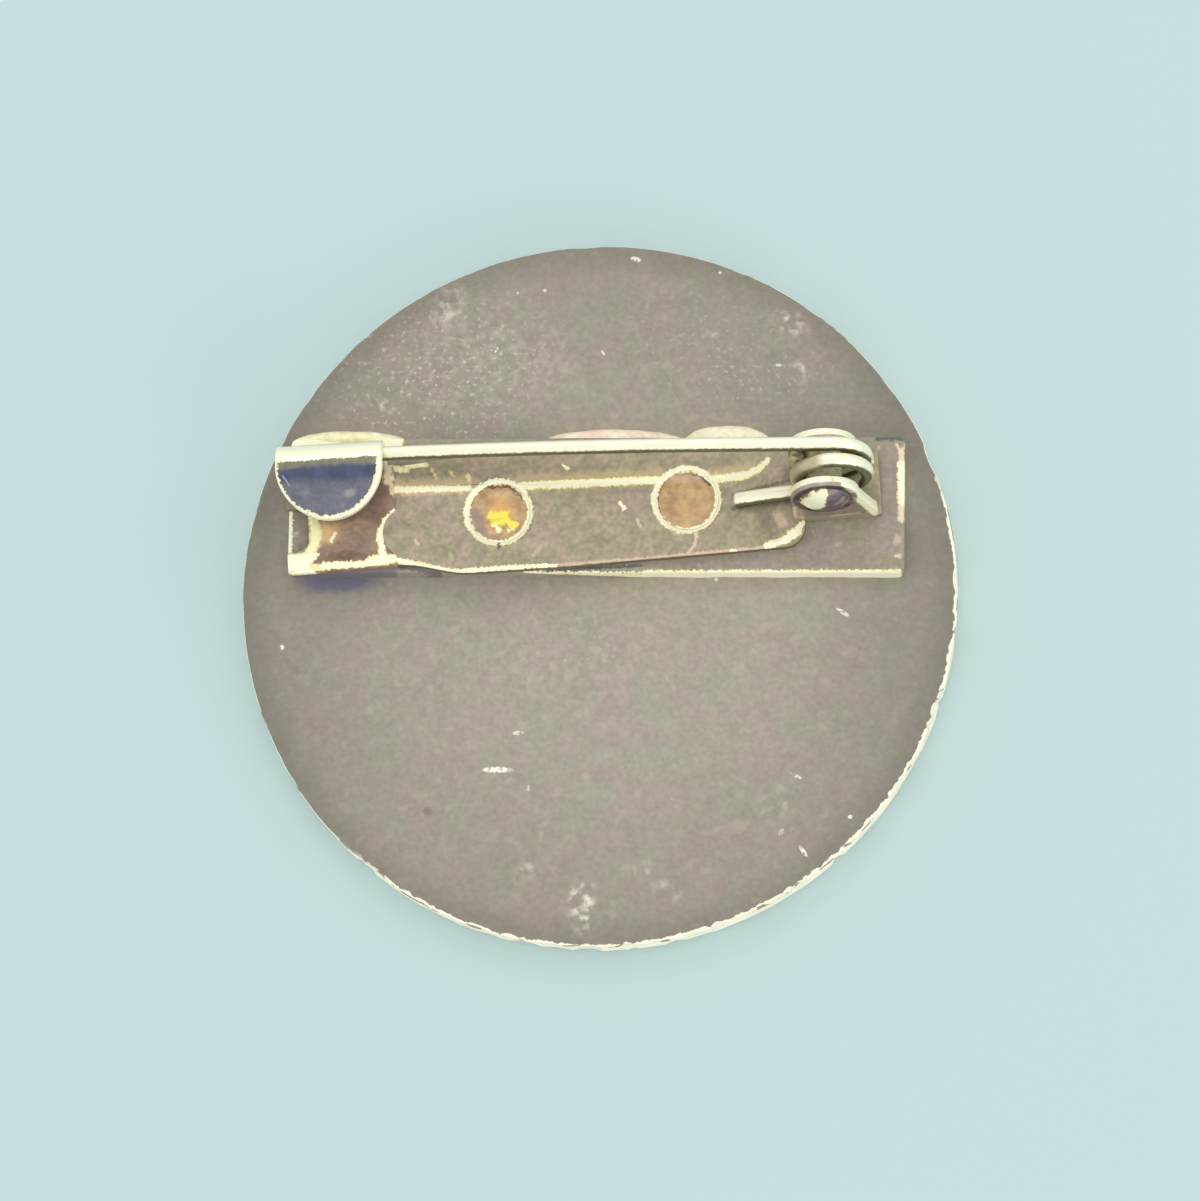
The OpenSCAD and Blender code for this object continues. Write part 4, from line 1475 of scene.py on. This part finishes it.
# %% [markdown]
# ## The glue
# Set glue fills both holes as a low amber dome, and more of it was squeezed out along the pad's upper edge
# in three beads, the left one up over the edge. The light caught in the left dome is painted as a yellow
# glint in an orange glow, painted shade lies along the domes' upper edges, and the holes' painted
# highlight rings reach over their borders. A dome is a short cylinder whose top is drawn in and raised.
# One bead is modelled from a ball and copied, and each copy is stretched and made lumpy.

# %% Glue in the holes
GLUE_DEEP = SHEET - 0.16
GLINT = [(-4.3, -0.1, -3.7, -0.1, 0.26, 1.0), (-4.2, -0.45, -3.8, -0.4, 0.22, 1.0),
         (-3.75, -0.35, -3.35, -0.55, 0.2, 1.0), (-3.45, -0.6, -3.4, -0.75, 0.1, 0.8)]
GLINT_PALE = [(-4.25, -0.55, -3.95, -0.75, 0.12, 1.0), (-3.6, -0.75, -3.45, -0.7, 0.08, 0.8)]
GLUE_GLOW_LIGHT = [(-3.9, 0.05, 0.85, 0.55, 0, 0.8), (-3.9, 0.6, 0.8, 0.4, 0, 0.35),
        (3.9, -0.3, 0.9, 0.5, 0, 0.2)]
GLUE_GREY = [(-5.0, 0.1, -4.75, -0.7, 0.34, 0.75), (-4.6, -0.95, -4.0, -1.1, 0.2, 0.6),
             (-3.6, -1.0, -3.1, -0.7, 0.15, 0.4)]
GLUE_SHADE = [(-4.4, 1.13, -3.5, 1.13, 0.09, 0.8), (-3.5, 1.1, -2.9, 0.55, 0.09, 0.7),
              (4.2, 1.12, 4.9, 0.6, 0.1, 0.9), (3.4, 1.15, 4.2, 1.12, 0.07, 0.5),
              (3.2, 0.35, 3.25, 0.3, 0.12, 0.4)]


def amber_glue():
    """Amber and grey, with painted shade at its edges, a painted glow, the painted yellow glint and
    painted highlight rings.
    """
    made, tree, shader, at = new_finish("amber_glue", 0.22, coat=0.6)
    at = bar_place(tree, at)
    colour = two_tone(tree, at, 0.6, tone(206, 173, 124), tone(178, 140, 102), 3.0)
    colour = mottle(tree, colour, at, 0.25, 0.86, 1.12, 3.0)
    ragged = torn(tree, at, 0.2, 0.2)
    # Painted shade along the domes' upper edges, then grey patches.
    colour = paint(tree, ragged, colour, (GLUE_SHADE, tone(84, 72, 50)), (GLUE_GREY, tone(148, 130, 126)))
    # A painted orange glow of light in the domes, then the painted yellow glint in the left one.
    colour = mix(tree, marks(tree, at, GLUE_GLOW_LIGHT, 0.1), colour, tone(240, 178, 92))
    colour = paint(tree, ragged, colour, (GLINT, tone(255, 238, 84)), (GLINT_PALE, tone(255, 250, 190)))
    # Painted highlight rings at the holes' borders.
    colour_to(tree, shader, painted_highlight(tree, shader, at, rings(tree, torn(tree, at), HOLE_RING_HIGHLIGHT), colour))
    return made


def pale_glue(name, first, second):
    """Milky glue in two tones."""
    made, tree, shader, at = new_finish(name, 0.3, coat=0.4)
    colour = two_tone(tree, at, 0.9, first, second, 3.0)
    colour_to(tree, shader, mottle(tree, colour, at, 0.25, 0.88, 1.1, 3.0))
    bumps(tree, shader, cloud(tree, at, 0.4), 0.3, 0.03)
    return made


plug = new("hole_glue_left", bpy.ops.mesh.primitive_cylinder_add, vertices=48, radius=HOLE_R,
           depth=GLUE_DEEP, location=(-HOLE_AT, 0, PAD_TOP + GLUE_DEEP / 2))
edit(plug)
pick(lambda f: f.normal.z > 0.9)
share0, rise0 = 1.0, 0.0
for share, rise in ((0.93, 0.02), (0.8, 0.05), (0.62, 0.09), (0.42, 0.12), (0.2, 0.13)):
    push(z=rise - rise0)
    stretch(x=share / share0, y=share / share0, about=(-HOLE_AT, 0, 0))
    share0, rise0 = share, rise
close()
outwards(plug)
dress(plug, amber_glue())
plugs = [plug, copy_of(plug, "hole_glue_right")]
plugs[1].location.x = 2 * HOLE_AT
for seed, obj in enumerate(plugs):
    apply_place(obj)
    lumpy(obj, 0.012, 0.5, seed)
    smooth(obj, 60, False)
    on_bar(obj)
hand_over(plugs[0], "base", "glue", "glue_plugs")
hand_over(plugs[1], "base", "glue")

# %% Beads of squeezed glue
PAD_EDGE = PAD_MIDDLE[1] + PAD_W / 2
BEADS = [("edge_glue_left", -13.1, -8.1, 0.46, 1.12, tone(255, 254, 224), tone(252, 240, 190)),
         ("edge_glue_middle", -2.5, 3.6, 0.56, 0.68, tone(255, 246, 222), tone(254, 222, 202)),
         ("edge_glue_right", 3.5, 7.2, 0.72, 0.68, tone(255, 254, 224), tone(255, 248, 212))]

ball = new("bead", bpy.ops.mesh.primitive_uv_sphere_add, segments=64, ring_count=24, radius=1)
for seed, (name, start, end, out, height, first, second) in enumerate(BEADS):
    obj = copy_of(ball, name)
    obj.location = ((start + end) / 2, PAD_EDGE - 0.02, DISC_T)
    obj.scale = ((end - start) / 2, out, height)
    apply_place(obj)
    lumpy(obj, 0.035, 0.55, seed + 5)
    edit(obj)
    for place, normal in (((0, 0, DISC_T), (0, 0, 1)), ((0, PAD_EDGE - 0.3, 0), (0, 1, 0))):
        slice_at(place, normal, use_fill=True, clear_inner=True)
    close()
    outwards(obj)
    dress(obj, pale_glue("glue_" + name.split("_")[-1], first, second))
    smooth(obj, 60, False)
    to_metres(obj)
    hand_over(obj, "base", "bead", *(["glue_bead"] if seed == 0 else []))
bpy.data.objects.remove(ball)

# %% [markdown]
# ## The floor
# A plain pale blue floor, large enough for every view. It is no part of the brooch.

# %% Floor
FLOOR_BLUE = (0.535, 0.692, 0.733, 1)
floor = new("floor", bpy.ops.mesh.primitive_plane_add, size=4)
pale_floor, _, floor_shader, _ = new_finish("pale_floor", 0.9)
floor_shader.inputs["Base Color"].default_value = FLOOR_BLUE
dress(floor, pale_floor)
